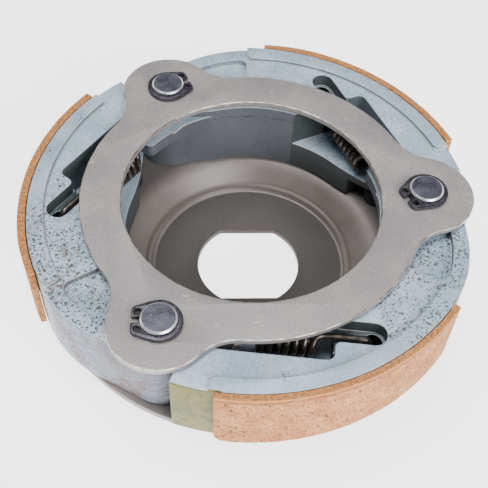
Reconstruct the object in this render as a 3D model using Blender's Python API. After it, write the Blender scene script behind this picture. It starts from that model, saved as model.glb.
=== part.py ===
"""Centrifugal clutch: three sprung shoes on a dished drive plate, under a lobed side plate.

The clutch axis is Z and the underside of the dish floor is at Z = 0. Station 2 lies on +X. The stations are
numbered clockwise, seen from above. A shoe is drawn in the clutch frame with its pivot pin on +X: it runs
clockwise from its pin to its toe, and its tail reaches past the pin the other way. Each shoe's spring pulls
it in towards the tail of the next shoe clockwise.
"""
import math

import bmesh
import bpy
from mathutils import Matrix, Vector
from mathutils.geometry import convex_hull_2d

MM = 0.001
SHOE_COUNT = 3
STATION_PITCH = 360.0 / SHOE_COUNT
FIRST_STATION = 120.0

# Clearances
SEAT_GAP = 0.3 * MM
RUNNING_GAP = 0.4 * MM
HOOK_GAP = 0.35 * MM

# Drive plate
PIN_CIRCLE_R = 46.5 * MM
PLATE_THICKNESS = 2.2 * MM
DISH_DEPTH = 7.7 * MM
FLANGE_OUTSET = 11.1 * MM
DISH_MOUTH_INSET = 11.6 * MM
MOUTH_ROUND_R = 8.0 * MM
BEAD_R = 28.4 * MM
BEAD_WIDTH = 1.5 * MM
BEAD_RISE = 1.0 * MM
BEAD_INNER_SHARE = 0.6
BEAD_SHOULDER_SHARE = 0.25
HUB_HOLE_R = 14.7 * MM
HUB_FLAT_INSET = 2.3 * MM

# Pivot pins
PIN_BEARING_R = 5.2 * MM
PIN_NECK_R = 4.5 * MM
PIN_CHAMFER = 0.4 * MM
PIN_TOP_RISE = 2.3 * MM
RIVET_R = 3.6 * MM
RIVET_HEAD_R = 5.0 * MM
RIVET_HEAD_HEIGHT = 1.2 * MM

# Circlips
CIRCLIP_THICKNESS = 1.0 * MM
GROOVE_DEPTH = 0.5 * MM
CIRCLIP_WIDTH = 1.5 * MM
CIRCLIP_GAP_HALF = 0.85 * MM
LUG_CORNER_R = 1.5 * MM
LUG_CORNER_DEG = 27.0
LUG_HOLE_R = 0.8 * MM
LUG_HOLE_DEG = 25.0
LUG_HOLE_OUTSET = 0.1 * MM
CIRCLIP_TURN_DEG = (23.0, 207.0, 179.0)

# Side plate
SIDE_THICKNESS = 1.7 * MM
SIDE_RING_INSET = 11.9 * MM
SIDE_RING_WIDTH = 10.9 * MM
SIDE_LOBE_R = 13.0 * MM
SIDE_FILLET_R = 12.0 * MM

# Shoe casting
SHOE_HEIGHT = 21.0 * MM
DRUM_OUTSET = 16.7 * MM
CONTACT_SWING_DEG = 2.46
SHOE_INSET = 11.9 * MM
BOSS_R = 9.6 * MM
BOSS_WRAP_DEG = 183.0
BOSS_CLEARANCE = 2.7 * MM
SHOULDER_R = 35.0 * MM
TOE_END_DEG = -110.6
WALL_END_DEG = -76.0
WALL_START_DEG = -13.0
WALL_EASE = 10.0 * MM
SHELF_ROOT_DEG = -8.0
RIM_OUTSET = 8.4 * MM
RIM_HEIGHT = 1.1 * MM
RIM_START_DEG = -30.4
RIM_END_DEG = -101.5
RIM_CORNER_R = 2.0 * MM
RECESS_DEPTH = 2.0 * MM
RECESS_WALL = 4.2 * MM
RECESS_INSET = 8.5 * MM
RECESS_END_DEG = -30.0
RECESS_START_DEG = -5.0
RECESS_CORNER_R = 2.2 * MM
RECESS_BOSS_WALL = 2.2 * MM

# Tail arm that the neighbour's spring hooks on
ARM_THICKNESS = 4.2 * MM
ARM_DROP = 0.9 * MM
ARM_INSET = 0.5 * MM
ARM_OUTER_WIDTH = 4.2 * MM
ARM_TIP_LENGTH = 2.7 * MM
ARM_CORNER_R = 1.6 * MM
ARM_ROOT_DEG = 6.0
ARM_LAP_DEG = 3.0
WALL_RAMP_DEG = 5.0
WALL_TOP_END_DEG = 3.0

# Springs
WIRE_R = 0.9 * MM
COIL_R = 4.2 * MM
COIL_TURN_GAP = 0.25 * MM
COIL_LEAD_DEG = 80.0
FAR_LEG = 7.7 * MM
NEAR_LEG = 13.3 * MM
BEND_R = 1.5 * MM
LEAD_LENGTH = 2.5 * MM
LEAD_HANDLE_SHARE = 0.55
HOOK_DROP = 5.0 * MM
NEAR_ANCHOR_OUTSET = 4.0 * MM
NEAR_ANCHOR_DEG = -57.2
FAR_ANCHOR_INSET = 7.7 * MM
FAR_ANCHOR_DEG = -101.5

# Spring pocket and hook slot in the shoe's top
LEDGE_HEIGHT = 9.0 * MM
SPRING_FLOOR_GAP = 1.4 * MM
POCKET_CLEARANCE = 4.2 * MM
POCKET_END_INSET = 8.4 * MM
POCKET_CORNER_R = 2.0 * MM
SLOT_CORNER_R = 1.5 * MM
SLOT_HALF_WIDTH = 3.1 * MM
SLOT_FLOOR_RISE = 7.7 * MM
SLOT_END_OUTSET = 1.3 * MM
HOOK_WELL_R = 2.7 * MM

# Linings
LINING_THICKNESS = 2.1 * MM
LINING_START_DEG = -35.5
LINING_END_DEG = -100.0

# Damper studs under the toes
SHELF_THICKNESS = 2.8 * MM
STUD_INSET = 3.0 * MM
STUD_DEG = -94.3
STUD_R = 2.6 * MM
STUD_HEAD_R = 3.8 * MM
STUD_HEAD_HEIGHT = 0.8 * MM
RUBBER_R = 4.6 * MM
RUBBER_EDGE = 0.5 * MM
STUD_SWING_ROOM = 9.0 * MM

# Facets
ARC_STEP_DEG = 4.0
SMALL_ARC_STEP_DEG = 15.0
BOSS_STEP_DEG = 12.0
LOBE_STEP_DEG = 8.0
FILLET_STEP_DEG = 10.0
CORNER_STEP_DEG = 30.0
SLOT_STEP_DEG = 20.0
LUG_STEP_DEG = 24.0
HOLE_STEP_DEG = 40.0
TURNED_STEPS = 48
PIN_STEPS = 20
STUD_STEPS = 16
WIRE_STEPS_PER_TURN = 10
BEND_STEPS = 3
LEAD_STEPS = 5
MOUTH_STEPS = 5
RAMP_STEPS = 5
EASE_STEPS = 5
CUT_MARGIN = 1.0 * MM
CUT_REACH = 15.5 * MM
JOIN_OVERLAP = 0.5 * MM

# Derived sizes
LINING_OUTER_R = PIN_CIRCLE_R + DRUM_OUTSET
SHOE_OUTER_R = LINING_OUTER_R - LINING_THICKNESS - SEAT_GAP
SHOE_INNER_R = PIN_CIRCLE_R - SHOE_INSET
BEARING_BORE_R = PIN_BEARING_R + SEAT_GAP
HUB_FLAT_HALF = HUB_HOLE_R - HUB_FLAT_INSET
COIL_MEAN_R = COIL_R - WIRE_R
COIL_PITCH = 2 * WIRE_R + COIL_TURN_GAP

# Derived heights
FLANGE_TOP = PLATE_THICKNESS + DISH_DEPTH
FLANGE_UNDERSIDE = DISH_DEPTH
SHOE_BOTTOM = FLANGE_TOP + RUNNING_GAP
SHOE_TOP = SHOE_BOTTOM + SHOE_HEIGHT
LEDGE_Z = SHOE_BOTTOM + LEDGE_HEIGHT
SHELF_UNDERSIDE = LEDGE_Z - SHELF_THICKNESS
SPRING_Z = LEDGE_Z + SPRING_FLOOR_GAP + COIL_R
SIDE_BOTTOM = SHOE_TOP + SEAT_GAP
SIDE_TOP = SIDE_BOTTOM + SIDE_THICKNESS
PIN_TOP = SIDE_TOP + PIN_TOP_RISE
CIRCLIP_Z = SIDE_TOP + SEAT_GAP
RIM_TOP = SHOE_TOP + RIM_HEIGHT
SLOT_FLOOR_Z = LEDGE_Z + SLOT_FLOOR_RISE
ARM_LOW = SPRING_Z - ARM_DROP
ARM_HIGH = ARM_LOW + ARM_THICKNESS
NEAR_LEG_Z = SPRING_Z + COIL_MEAN_R
FAR_LEG_Z = max(ARM_HIGH + HOOK_GAP + WIRE_R, NEAR_LEG_Z)


def polar(radius, degrees):
    angle = math.radians(degrees)
    return Vector((radius * math.cos(angle), radius * math.sin(angle)))


AXIS = Vector((0, 0))
PIN = polar(PIN_CIRCLE_R, 0)
NEXT_PIN = polar(PIN_CIRCLE_R, -STATION_PITCH)
DRUM_CENTRE = PIN - polar(PIN_CIRCLE_R, -CONTACT_SWING_DEG)
NEAR_ANCHOR = polar(PIN_CIRCLE_R + NEAR_ANCHOR_OUTSET, NEAR_ANCHOR_DEG)
FAR_ANCHOR = polar(PIN_CIRCLE_R - FAR_ANCHOR_INSET, FAR_ANCHOR_DEG)
SPRING_LENGTH = (NEAR_ANCHOR - FAR_ANCHOR).length
ALONG_SPRING = (NEAR_ANCHOR - FAR_ANCHOR).normalized()
ACROSS_SPRING = Vector((ALONG_SPRING.y, -ALONG_SPRING.x))
COIL_TURNS = max(2, round((SPRING_LENGTH - FAR_LEG - NEAR_LEG) / COIL_PITCH))
COIL_LENGTH = COIL_TURNS * COIL_PITCH
COIL_START = FAR_LEG
SPRING_DEG = math.degrees(math.atan2(ALONG_SPRING.y, ALONG_SPRING.x))


def spring_point(along, across):
    """A plan point measured along the spring from its far anchor, and across it, outwards."""
    return FAR_ANCHOR + ALONG_SPRING * along + ACROSS_SPRING * across


def arc(centre, radius, start_deg, end_deg, step_deg=ARC_STEP_DEG):
    steps = max(1, math.ceil(abs(end_deg - start_deg) / step_deg))
    turn = (end_deg - start_deg) / steps
    return [centre + polar(radius, start_deg + turn * i) for i in range(steps + 1)]


def direction_deg(centre, point):
    offset = point - centre
    return math.degrees(math.atan2(offset.y, offset.x))


def ray_meets_circle(degrees, centre, radius):
    """The far point where a ray from the clutch axis meets a circle."""
    ray = polar(1.0, degrees)
    along = ray.dot(centre)
    return ray * (along + math.sqrt(radius ** 2 - centre.length_squared + along ** 2))


def arc_between_rays(centre, radius, start_deg, end_deg):
    """Part of a circle that lies between two rays from the clutch axis."""
    start = direction_deg(centre, ray_meets_circle(start_deg, centre, radius))
    end = direction_deg(centre, ray_meets_circle(end_deg, centre, radius))
    return arc(centre, radius, start, end)


def finish_mesh(name, bm):
    bmesh.ops.remove_doubles(bm, verts=bm.verts, dist=1e-7)
    bmesh.ops.recalc_face_normals(bm, faces=bm.faces)
    mesh = bpy.data.meshes.new(name)
    bm.to_mesh(mesh)
    bm.free()
    return mesh


def add_object(name, mesh):
    obj = bpy.data.objects.new(name, mesh)
    bpy.context.scene.collection.objects.link(obj)
    return obj


def loft(name, bottom, bottom_z, top, top_z):
    """A closed solid between two plan outlines with the same number of points."""
    bm = bmesh.new()
    low = [bm.verts.new((p.x, p.y, bottom_z)) for p in bottom]
    high = [bm.verts.new((p.x, p.y, top_z)) for p in top]
    bm.faces.new(low)
    bm.faces.new(high)
    for i in range(len(low)):
        j = (i + 1) % len(low)
        bm.faces.new((low[i], low[j], high[j], high[i]))
    return add_object(name, finish_mesh(name, bm))


def prism(name, outline, bottom_z, top_z):
    return loft(name, outline, bottom_z, outline, top_z)


def disc(name, centre, radius, bottom_z, top_z, step_deg=SMALL_ARC_STEP_DEG):
    return prism(name, arc(centre, radius, 0, 360, step_deg)[:-1], bottom_z, top_z)


def turned(name, profile, steps):
    """A solid turned about Z from a profile of (radius, height) points, closed if it clears the axis."""
    bm = bmesh.new()
    verts = [bm.verts.new((r, 0, z)) for r, z in profile]
    edges = [bm.edges.new(pair) for pair in zip(verts, verts[1:])]
    if min(r for r, z in profile) > 0:
        edges.append(bm.edges.new((verts[-1], verts[0])))
    bmesh.ops.spin(bm, geom=verts + edges, axis=(0, 0, 1), angle=math.tau, steps=steps, use_merge=True)
    return add_object(name, finish_mesh(name, bm))


def combine(target, tool, operation):
    """Joins a tool to the target, or cuts it away, and removes the tool."""
    modifier = target.modifiers.new(operation.title(), "BOOLEAN")
    modifier.operation = operation
    modifier.solver = "EXACT"
    modifier.object = tool
    depsgraph = bpy.context.evaluated_depsgraph_get()
    mesh = bpy.data.meshes.new_from_object(target.evaluated_get(depsgraph))
    target.modifiers.clear()
    target.data = mesh
    bpy.data.objects.remove(tool)


def join(target, tool):
    combine(target, tool, "UNION")


def cut(target, tool):
    combine(target, tool, "DIFFERENCE")


def shade(obj, sharp_deg=35.0):
    obj.data.shade_smooth()
    obj.data.set_sharp_from_angle(angle=math.radians(sharp_deg))


def make_material(name, colour, roughness, metallic):
    material = bpy.data.materials.new(name)
    material.use_nodes = True
    shader = material.node_tree.nodes["Principled BSDF"]
    shader.inputs["Base Color"].default_value = (*colour, 1.0)
    shader.inputs["Roughness"].default_value = roughness
    shader.inputs["Metallic"].default_value = metallic
    material.diffuse_color = (*colour, 1.0)
    return material


def station_deg(number):
    return FIRST_STATION - STATION_PITCH * (number - 1)


def dish_profile():
    """The drive plate's half section: flange, rounded mouth, sloping wall, bead ring and flat floor."""
    flange_r = PIN_CIRCLE_R + FLANGE_OUTSET
    mouth_r = PIN_CIRCLE_R - DISH_MOUTH_INSET
    foot_r = BEAD_R + BEAD_WIDTH / 2
    foot_z = PLATE_THICKNESS + BEAD_RISE
    slope = math.atan2(FLANGE_TOP - foot_z, mouth_r - foot_r)
    mouth = []
    for i in range(MOUTH_STEPS + 1):
        lean = slope * i / MOUTH_STEPS
        mouth.append((
            mouth_r + MOUTH_ROUND_R * (math.tan(slope / 2) - math.sin(lean)),
            FLANGE_TOP - MOUTH_ROUND_R * (1 - math.cos(lean)),
        ))
    upper = [(flange_r, FLANGE_TOP)] + mouth
    upper += [(foot_r + BEAD_WIDTH / 2, foot_z + BEAD_WIDTH * BEAD_SHOULDER_SHARE), (foot_r, foot_z)]
    upper += [(foot_r - BEAD_WIDTH * BEAD_INNER_SHARE, foot_z), (foot_r - BEAD_WIDTH, PLATE_THICKNESS)]
    upper += [(0, PLATE_THICKNESS)]
    lower = [(0, 0), (foot_r, 0)]
    lower += [(r + PLATE_THICKNESS * math.tan(slope / 2), z - PLATE_THICKNESS) for r, z in reversed(mouth)]
    lower += [(flange_r, FLANGE_UNDERSIDE)]
    return upper[::-1] + lower[::-1]


def hub_hole_outline():
    """A round hole with two flats parallel to X."""
    flat_deg = math.degrees(math.asin(HUB_FLAT_HALF / HUB_HOLE_R))
    right = arc(AXIS, HUB_HOLE_R, -flat_deg, flat_deg)
    left = arc(AXIS, HUB_HOLE_R, 180 - flat_deg, 180 + flat_deg)
    return right + left


def stud_centre(number):
    return polar(PIN_CIRCLE_R - STUD_INSET, station_deg(number) + STUD_DEG)


def build_drive_plate(material):
    plate = turned("drive_plate", dish_profile(), TURNED_STEPS)
    cut(plate, prism("hub_hole", hub_hole_outline(), -CUT_MARGIN, FLANGE_TOP))
    for number in range(1, SHOE_COUNT + 1):
        pin_centre = polar(PIN_CIRCLE_R, station_deg(number))
        low, high = FLANGE_UNDERSIDE - CUT_MARGIN, FLANGE_TOP + CUT_MARGIN
        cut(plate, disc("rivet_hole", pin_centre, RIVET_R + SEAT_GAP, low, high))
        cut(plate, disc("stud_hole", stud_centre(number), STUD_R, low, high))
    plate.data.materials.clear()
    plate.data.materials.append(material)
    shade(plate, 25.0)


def side_plate_outline():
    """Ring with a lobe at each station; concave fillets run from lobe to ring."""
    ring_r = PIN_CIRCLE_R - SIDE_RING_INSET + SIDE_RING_WIDTH
    to_pin = SIDE_LOBE_R + SIDE_FILLET_R
    to_axis = ring_r + SIDE_FILLET_R
    fillet_x = (PIN_CIRCLE_R ** 2 + to_axis ** 2 - to_pin ** 2) / (2 * PIN_CIRCLE_R)
    fillet_y = math.sqrt(to_axis ** 2 - fillet_x ** 2)
    fillet_deg = math.degrees(math.atan2(fillet_y, fillet_x))
    outline = []
    for i in range(SHOE_COUNT):
        turn = i * STATION_PITCH
        pin = polar(PIN_CIRCLE_R, turn)
        before = polar(to_axis, turn - fillet_deg)
        after = polar(to_axis, turn + fillet_deg)
        lobe_end = direction_deg(PIN, polar(to_axis, fillet_deg))
        back = turn + 180
        ahead = turn - 180
        outline += arc(before, SIDE_FILLET_R, back - fillet_deg, back - lobe_end, FILLET_STEP_DEG)[:-1]
        outline += arc(pin, SIDE_LOBE_R, turn - lobe_end, turn + lobe_end, LOBE_STEP_DEG)
        outline += arc(after, SIDE_FILLET_R, ahead + lobe_end, ahead + fillet_deg, FILLET_STEP_DEG)[1:]
        ring_end = turn + STATION_PITCH - fillet_deg
        outline += arc(AXIS, ring_r, turn + fillet_deg, ring_end)[1:-1]
    return outline


def build_side_plate(material):
    plate = prism("side_plate", side_plate_outline(), SIDE_BOTTOM, SIDE_TOP)
    low, high = SIDE_BOTTOM - CUT_MARGIN, SIDE_TOP + CUT_MARGIN
    cut(plate, disc("opening", AXIS, PIN_CIRCLE_R - SIDE_RING_INSET, low, high, ARC_STEP_DEG))
    for number in range(1, SHOE_COUNT + 1):
        centre = polar(PIN_CIRCLE_R, station_deg(number))
        cut(plate, disc("pin_hole", centre, PIN_NECK_R + SEAT_GAP, low, high))
    plate.data.materials.clear()
    plate.data.materials.append(material)
    shade(plate)


def pin_profile():
    """Rivet head, spigot, bearing, neck, circlip groove and chamfered head."""
    groove_r = PIN_NECK_R - GROOVE_DEPTH
    groove_low = CIRCLIP_Z - SEAT_GAP / 2
    groove_high = CIRCLIP_Z + CIRCLIP_THICKNESS + SEAT_GAP / 2
    head_top = FLANGE_UNDERSIDE - SEAT_GAP
    head_bottom = head_top - RIVET_HEAD_HEIGHT
    return [
        (0, head_bottom),
        (RIVET_HEAD_R - PIN_CHAMFER, head_bottom),
        (RIVET_HEAD_R, head_bottom + PIN_CHAMFER),
        (RIVET_HEAD_R, head_top),
        (RIVET_R, head_top),
        (RIVET_R, FLANGE_TOP + SEAT_GAP),
        (PIN_BEARING_R, FLANGE_TOP + SEAT_GAP),
        (PIN_BEARING_R, SHOE_TOP),
        (PIN_NECK_R, SHOE_TOP),
        (PIN_NECK_R, groove_low),
        (groove_r, groove_low),
        (groove_r, groove_high),
        (PIN_NECK_R, groove_high),
        (PIN_NECK_R, PIN_TOP - PIN_CHAMFER),
        (PIN_NECK_R - PIN_CHAMFER, PIN_TOP),
        (0, PIN_TOP),
    ]


def circlip_mesh():
    """An open ring whose ends widen into two drilled lugs; its mouth faces +X."""
    inner_r = PIN_NECK_R - GROOVE_DEPTH / 2
    outer_r = inner_r + CIRCLIP_WIDTH
    top = CIRCLIP_THICKNESS
    below, above = -CUT_MARGIN, top + CUT_MARGIN
    points = arc(AXIS, outer_r, 0, 360, SMALL_ARC_STEP_DEG)[:-1]
    for side in (-1, 1):
        corner = polar(outer_r, side * LUG_CORNER_DEG)
        points += arc(corner, LUG_CORNER_R, 0, 360, LUG_STEP_DEG)[:-1]
    clip = prism("circlip", [points[i] for i in convex_hull_2d(points)], 0, top)
    cut(clip, disc("inside", AXIS, inner_r, below, above))
    for side in (-1, 1):
        hole = polar(outer_r - LUG_HOLE_OUTSET, side * LUG_HOLE_DEG)
        cut(clip, disc("lug_hole", hole, LUG_HOLE_R, below, above, HOLE_STEP_DEG))
    reach = 2 * outer_r
    corners = ((0, -1), (reach, -1), (reach, 1), (0, 1))
    mouth = [Vector((along, side * CIRCLIP_GAP_HALF)) for along, side in corners]
    cut(clip, prism("mouth", mouth, below, above))
    mesh = clip.data
    bpy.data.objects.remove(clip)
    return mesh


def shoulder_centre():
    """Centre of the arc that blends the shoe's straight pivot side into its outer face."""
    x = PIN_CIRCLE_R + BOSS_R - SHOULDER_R
    rise = (SHOE_OUTER_R - SHOULDER_R) ** 2 - (x - DRUM_CENTRE.x) ** 2
    return Vector((x, DRUM_CENTRE.y - math.sqrt(max(0.0, rise))))


def outer_edge(start_deg, end_deg, inset=0.0):
    """The shoe's outer edge from a ray near the toe to one near the pivot, moved in by an inset."""
    centre = shoulder_centre()
    tangent_deg = direction_deg(DRUM_CENTRE, centre)
    tangent_ray_deg = direction_deg(AXIS, DRUM_CENTRE + polar(SHOE_OUTER_R - inset, tangent_deg))
    edge = []
    if start_deg < tangent_ray_deg:
        edge = arc_between_rays(DRUM_CENTRE, SHOE_OUTER_R - inset, start_deg, min(end_deg, tangent_ray_deg))
    if end_deg > tangent_ray_deg:
        shoulder_start = max(start_deg, tangent_ray_deg)
        edge += arc_between_rays(centre, SHOULDER_R - inset, shoulder_start, end_deg)
    return edge


def eased(start, bend, end):
    """Inner points of a curve from start to end that leaves and arrives in line with the bend."""
    shares = [i / EASE_STEPS for i in range(1, EASE_STEPS)]
    return [start * (1 - t) ** 2 + bend * 2 * t * (1 - t) + end * t ** 2 for t in shares]


def shoe_outline():
    """The casting's plan: outer face, boss, inner wall, shelf edge and clearance round the next boss."""
    clearance_r = BOSS_R + BOSS_CLEARANCE
    side_start = shoulder_centre() + polar(SHOULDER_R, 0)
    toe_deg = direction_deg(NEXT_PIN, ray_meets_circle(TOE_END_DEG, NEXT_PIN, clearance_r))
    wall_end = polar(SHOE_INNER_R, WALL_END_DEG)
    shelf_root = NEXT_PIN + polar(clearance_r, SHELF_ROOT_DEG)
    outline = outer_edge(TOE_END_DEG, direction_deg(AXIS, side_start))
    outline += arc(PIN, BOSS_R, 0, BOSS_WRAP_DEG, BOSS_STEP_DEG)
    outline += arc(AXIS, SHOE_INNER_R, WALL_START_DEG, WALL_END_DEG)
    outline += eased(wall_end, wall_end + polar(WALL_EASE, WALL_END_DEG - 90), shelf_root)
    outline += arc(NEXT_PIN, clearance_r, SHELF_ROOT_DEG, toe_deg, BOSS_STEP_DEG)
    return outline


def arm_outline():
    """The tail arm's plan, from inside the boss to just past the neighbour's spring anchor."""
    anchor_r = PIN_CIRCLE_R - FAR_ANCHOR_INSET
    tip_deg = FAR_ANCHOR_DEG + STATION_PITCH + math.degrees(ARM_TIP_LENGTH / anchor_r)
    inner_r = SHOE_INNER_R + ARM_INSET
    outer_r = anchor_r + ARM_OUTER_WIDTH
    inner_corner_deg = tip_deg - math.degrees(ARM_CORNER_R / inner_r)
    outer_corner_deg = tip_deg - math.degrees(ARM_CORNER_R / outer_r)
    inner_corner = polar(inner_r + ARM_CORNER_R, inner_corner_deg)
    outer_corner = polar(outer_r - ARM_CORNER_R, outer_corner_deg)
    outline = arc(AXIS, outer_r, ARM_ROOT_DEG, outer_corner_deg)[::-1]
    outline += arc(AXIS, inner_r, WALL_START_DEG - ARM_LAP_DEG, inner_corner_deg)
    outline += arc(inner_corner, ARM_CORNER_R, inner_corner_deg + 180, tip_deg + 90, CORNER_STEP_DEG)[1:]
    outline += arc(outer_corner, ARM_CORNER_R, tip_deg + 90, outer_corner_deg, CORNER_STEP_DEG)[:-1]
    return outline


def pocket_end():
    """How far along the spring the pocket's end wall stands."""
    return SPRING_LENGTH - POCKET_END_INSET


def spring_pocket_outline():
    """Open at the toe side and inwards; its outer end corner is rounded."""
    end = pocket_end()
    outer = COIL_R + POCKET_CLEARANCE
    inner = -(COIL_R + SHOE_INSET)
    corner = spring_point(end - POCKET_CORNER_R, outer - POCKET_CORNER_R)
    outline = [spring_point(-CUT_REACH, outer)]
    outline += arc(corner, POCKET_CORNER_R, SPRING_DEG - 90, SPRING_DEG, CORNER_STEP_DEG)
    outline += [spring_point(end, inner), spring_point(-CUT_REACH, inner)]
    return outline


def slot_round_centre():
    return spring_point(SPRING_LENGTH + SLOT_END_OUTSET, 0)


def hook_slot_outline():
    """A slot along the spring, from a flared mouth in the pocket's end wall to a round end past the hook."""
    start = pocket_end()
    flare_across = SLOT_HALF_WIDTH + SLOT_CORNER_R
    outer_flare = spring_point(start + SLOT_CORNER_R, flare_across)
    inner_flare = spring_point(start + SLOT_CORNER_R, -flare_across)
    outline = [spring_point(start - JOIN_OVERLAP, flare_across)]
    outline += arc(outer_flare, SLOT_CORNER_R, SPRING_DEG + 180, SPRING_DEG + 90, CORNER_STEP_DEG)
    outline += arc(slot_round_centre(), SLOT_HALF_WIDTH, SPRING_DEG - 90, SPRING_DEG + 90, SLOT_STEP_DEG)
    outline += arc(inner_flare, SLOT_CORNER_R, SPRING_DEG - 90, SPRING_DEG - 180, CORNER_STEP_DEG)
    outline.append(spring_point(start - JOIN_OVERLAP, -flare_across))
    return outline


def around_rim_outline():
    """All of the shoe's plan but the raised rim along its outer edge; the rim's inner corners are rounded."""
    inner_r = PIN_CIRCLE_R + RIM_OUTSET
    corner_r = inner_r + RIM_CORNER_R
    corner_turn = math.degrees(math.asin(RIM_CORNER_R / corner_r))
    start_deg = RIM_START_DEG - corner_turn
    end_deg = RIM_END_DEG + corner_turn
    start_corner = polar(corner_r, start_deg)
    end_corner = polar(corner_r, end_deg)
    outside_r = LINING_OUTER_R + CUT_REACH
    outline = [polar(outside_r, RIM_START_DEG)]
    outline += arc(start_corner, RIM_CORNER_R, RIM_START_DEG + 90, start_deg + 180, CORNER_STEP_DEG)
    outline += arc(AXIS, inner_r, start_deg, end_deg)[1:-1]
    outline += arc(end_corner, RIM_CORNER_R, end_deg + 180, RIM_END_DEG + 270, CORNER_STEP_DEG)
    outline += arc(AXIS, outside_r, RIM_END_DEG, RIM_START_DEG - 360)[:-1]
    return outline


def recess_outline():
    """Shallow recess in the top between the pivot boss and the start of the rim."""
    centre = shoulder_centre()
    wall_r = SHOULDER_R - RECESS_WALL
    inner_r = PIN_CIRCLE_R - RECESS_INSET
    aside = polar(RECESS_CORNER_R, RECESS_END_DEG + 90)
    corner = ray_meets_circle(RECESS_END_DEG, centre - aside, wall_r - RECESS_CORNER_R) + aside
    corner_deg = direction_deg(centre, corner)
    outer_x = centre.x + wall_r
    outline = [polar(inner_r, RECESS_START_DEG), polar(inner_r, RECESS_END_DEG)]
    outline += arc(corner, RECESS_CORNER_R, RECESS_END_DEG - 90, corner_deg, CORNER_STEP_DEG)
    outline += arc(centre, wall_r, corner_deg, 0)[1:]
    outline.append(Vector((outer_x, outer_x * math.tan(math.radians(RECESS_START_DEG)))))
    return outline


def damper_pocket_outline():
    """Pocket under the toe that rests on the rubber at its outer side and is open towards the clutch axis."""
    centre = polar(PIN_CIRCLE_R - STUD_INSET, STUD_DEG)
    outward = polar(1.0, STUD_DEG)
    sideways = polar(1.0, STUD_DEG + 90)
    reach = RUBBER_R + SEAT_GAP
    inward = outward * -CUT_REACH
    far_side = sideways * -(RUBBER_R + STUD_SWING_ROOM)
    outline = [centre + far_side + outward * reach]
    outline += arc(centre, reach, STUD_DEG, STUD_DEG + 90, SLOT_STEP_DEG)
    outline += [centre + sideways * reach + inward, centre + far_side + inward]
    return outline


def shoe_mesh():
    shoe = prism("shoe", shoe_outline(), SHOE_BOTTOM, RIM_TOP)
    cut(shoe, prism("around_rim", around_rim_outline(), SHOE_TOP, RIM_TOP + CUT_MARGIN))
    cut(shoe, prism("spring_pocket", spring_pocket_outline(), LEDGE_Z, SHOE_TOP + CUT_MARGIN))
    cut(shoe, prism("hook_slot", hook_slot_outline(), SLOT_FLOOR_Z, SHOE_TOP + CUT_MARGIN))
    cut(shoe, disc("hook_well", slot_round_centre(), HOOK_WELL_R, LEDGE_Z, SHOE_TOP, SLOT_STEP_DEG))
    cut(shoe, prism("damper_pocket", damper_pocket_outline(), SHOE_BOTTOM - CUT_MARGIN, SHELF_UNDERSIDE))
    recess = prism("recess", recess_outline(), SHOE_TOP - RECESS_DEPTH, SHOE_TOP + CUT_MARGIN)
    boss_wall_r = BEARING_BORE_R + RECESS_BOSS_WALL
    cut(recess, disc("boss_wall", PIN, boss_wall_r, SHOE_BOTTOM, SHOE_TOP + 2 * CUT_MARGIN))
    cut(shoe, recess)
    join(shoe, prism("arm", arm_outline(), ARM_LOW, ARM_HIGH))
    join(shoe, wall_ramp())
    cut(shoe, hook_hole())
    cut(shoe, disc("bore", PIN, BEARING_BORE_R, SHOE_BOTTOM - CUT_MARGIN, RIM_TOP))
    mesh = shoe.data
    bpy.data.objects.remove(shoe)
    mesh.transform(Matrix.Translation((-PIN_CIRCLE_R, 0, 0)))
    return mesh


def wall_ramp():
    """The inner wall carried on over the arm's root, with its end sloping down to the arm."""
    start = WALL_START_DEG - ARM_LAP_DEG

    def sector(end_deg):
        step = (end_deg - start) / RAMP_STEPS
        inner = [polar(SHOE_INNER_R, start + step * i) for i in range(RAMP_STEPS + 1)]
        outer = [polar(SHOE_INNER_R + BOSS_R / 2, start + step * i) for i in range(RAMP_STEPS + 1)]
        return inner + outer[::-1]

    low = sector(WALL_TOP_END_DEG + WALL_RAMP_DEG)
    return loft("ramp", low, ARM_HIGH - JOIN_OVERLAP, sector(WALL_TOP_END_DEG), SHOE_TOP - RECESS_DEPTH)


def hook_hole():
    """The hole through the tail arm that the end of the neighbour's spring goes down."""
    centre = Matrix.Rotation(math.radians(STATION_PITCH), 2) @ FAR_ANCHOR
    radius = WIRE_R + HOOK_GAP
    return disc("hook_hole", centre, radius, ARM_LOW - CUT_MARGIN, ARM_HIGH + CUT_MARGIN, SLOT_STEP_DEG)


def lining_mesh():
    """The friction lining: its curve fits the drum that the shoe swings out to."""
    inner_r = LINING_OUTER_R - LINING_THICKNESS
    outline = arc_between_rays(DRUM_CENTRE, LINING_OUTER_R, LINING_END_DEG, LINING_START_DEG)
    outline += arc_between_rays(DRUM_CENTRE, inner_r, LINING_START_DEG, LINING_END_DEG)
    lining = prism("lining", outline, SHOE_BOTTOM, RIM_TOP)
    mesh = lining.data
    bpy.data.objects.remove(lining)
    mesh.transform(Matrix.Translation((-PIN_CIRCLE_R, 0, 0)))
    return mesh


def spring_place(along, across, height):
    plan = spring_point(along, across)
    return Vector((plan.x, plan.y, height))


def bent_end(anchor_along, leg_z, side):
    """The wire from the end of a leg, round a bend and down its hole."""
    points = []
    for i in range(BEND_STEPS + 1):
        lean = math.radians(90 * i / BEND_STEPS)
        along = anchor_along - side * BEND_R * (1 - math.sin(lean))
        points.append(spring_place(along, 0, leg_z - BEND_R * (1 - math.cos(lean))))
    points.append(spring_place(anchor_along, 0, leg_z - HOOK_DROP))
    return points


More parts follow.
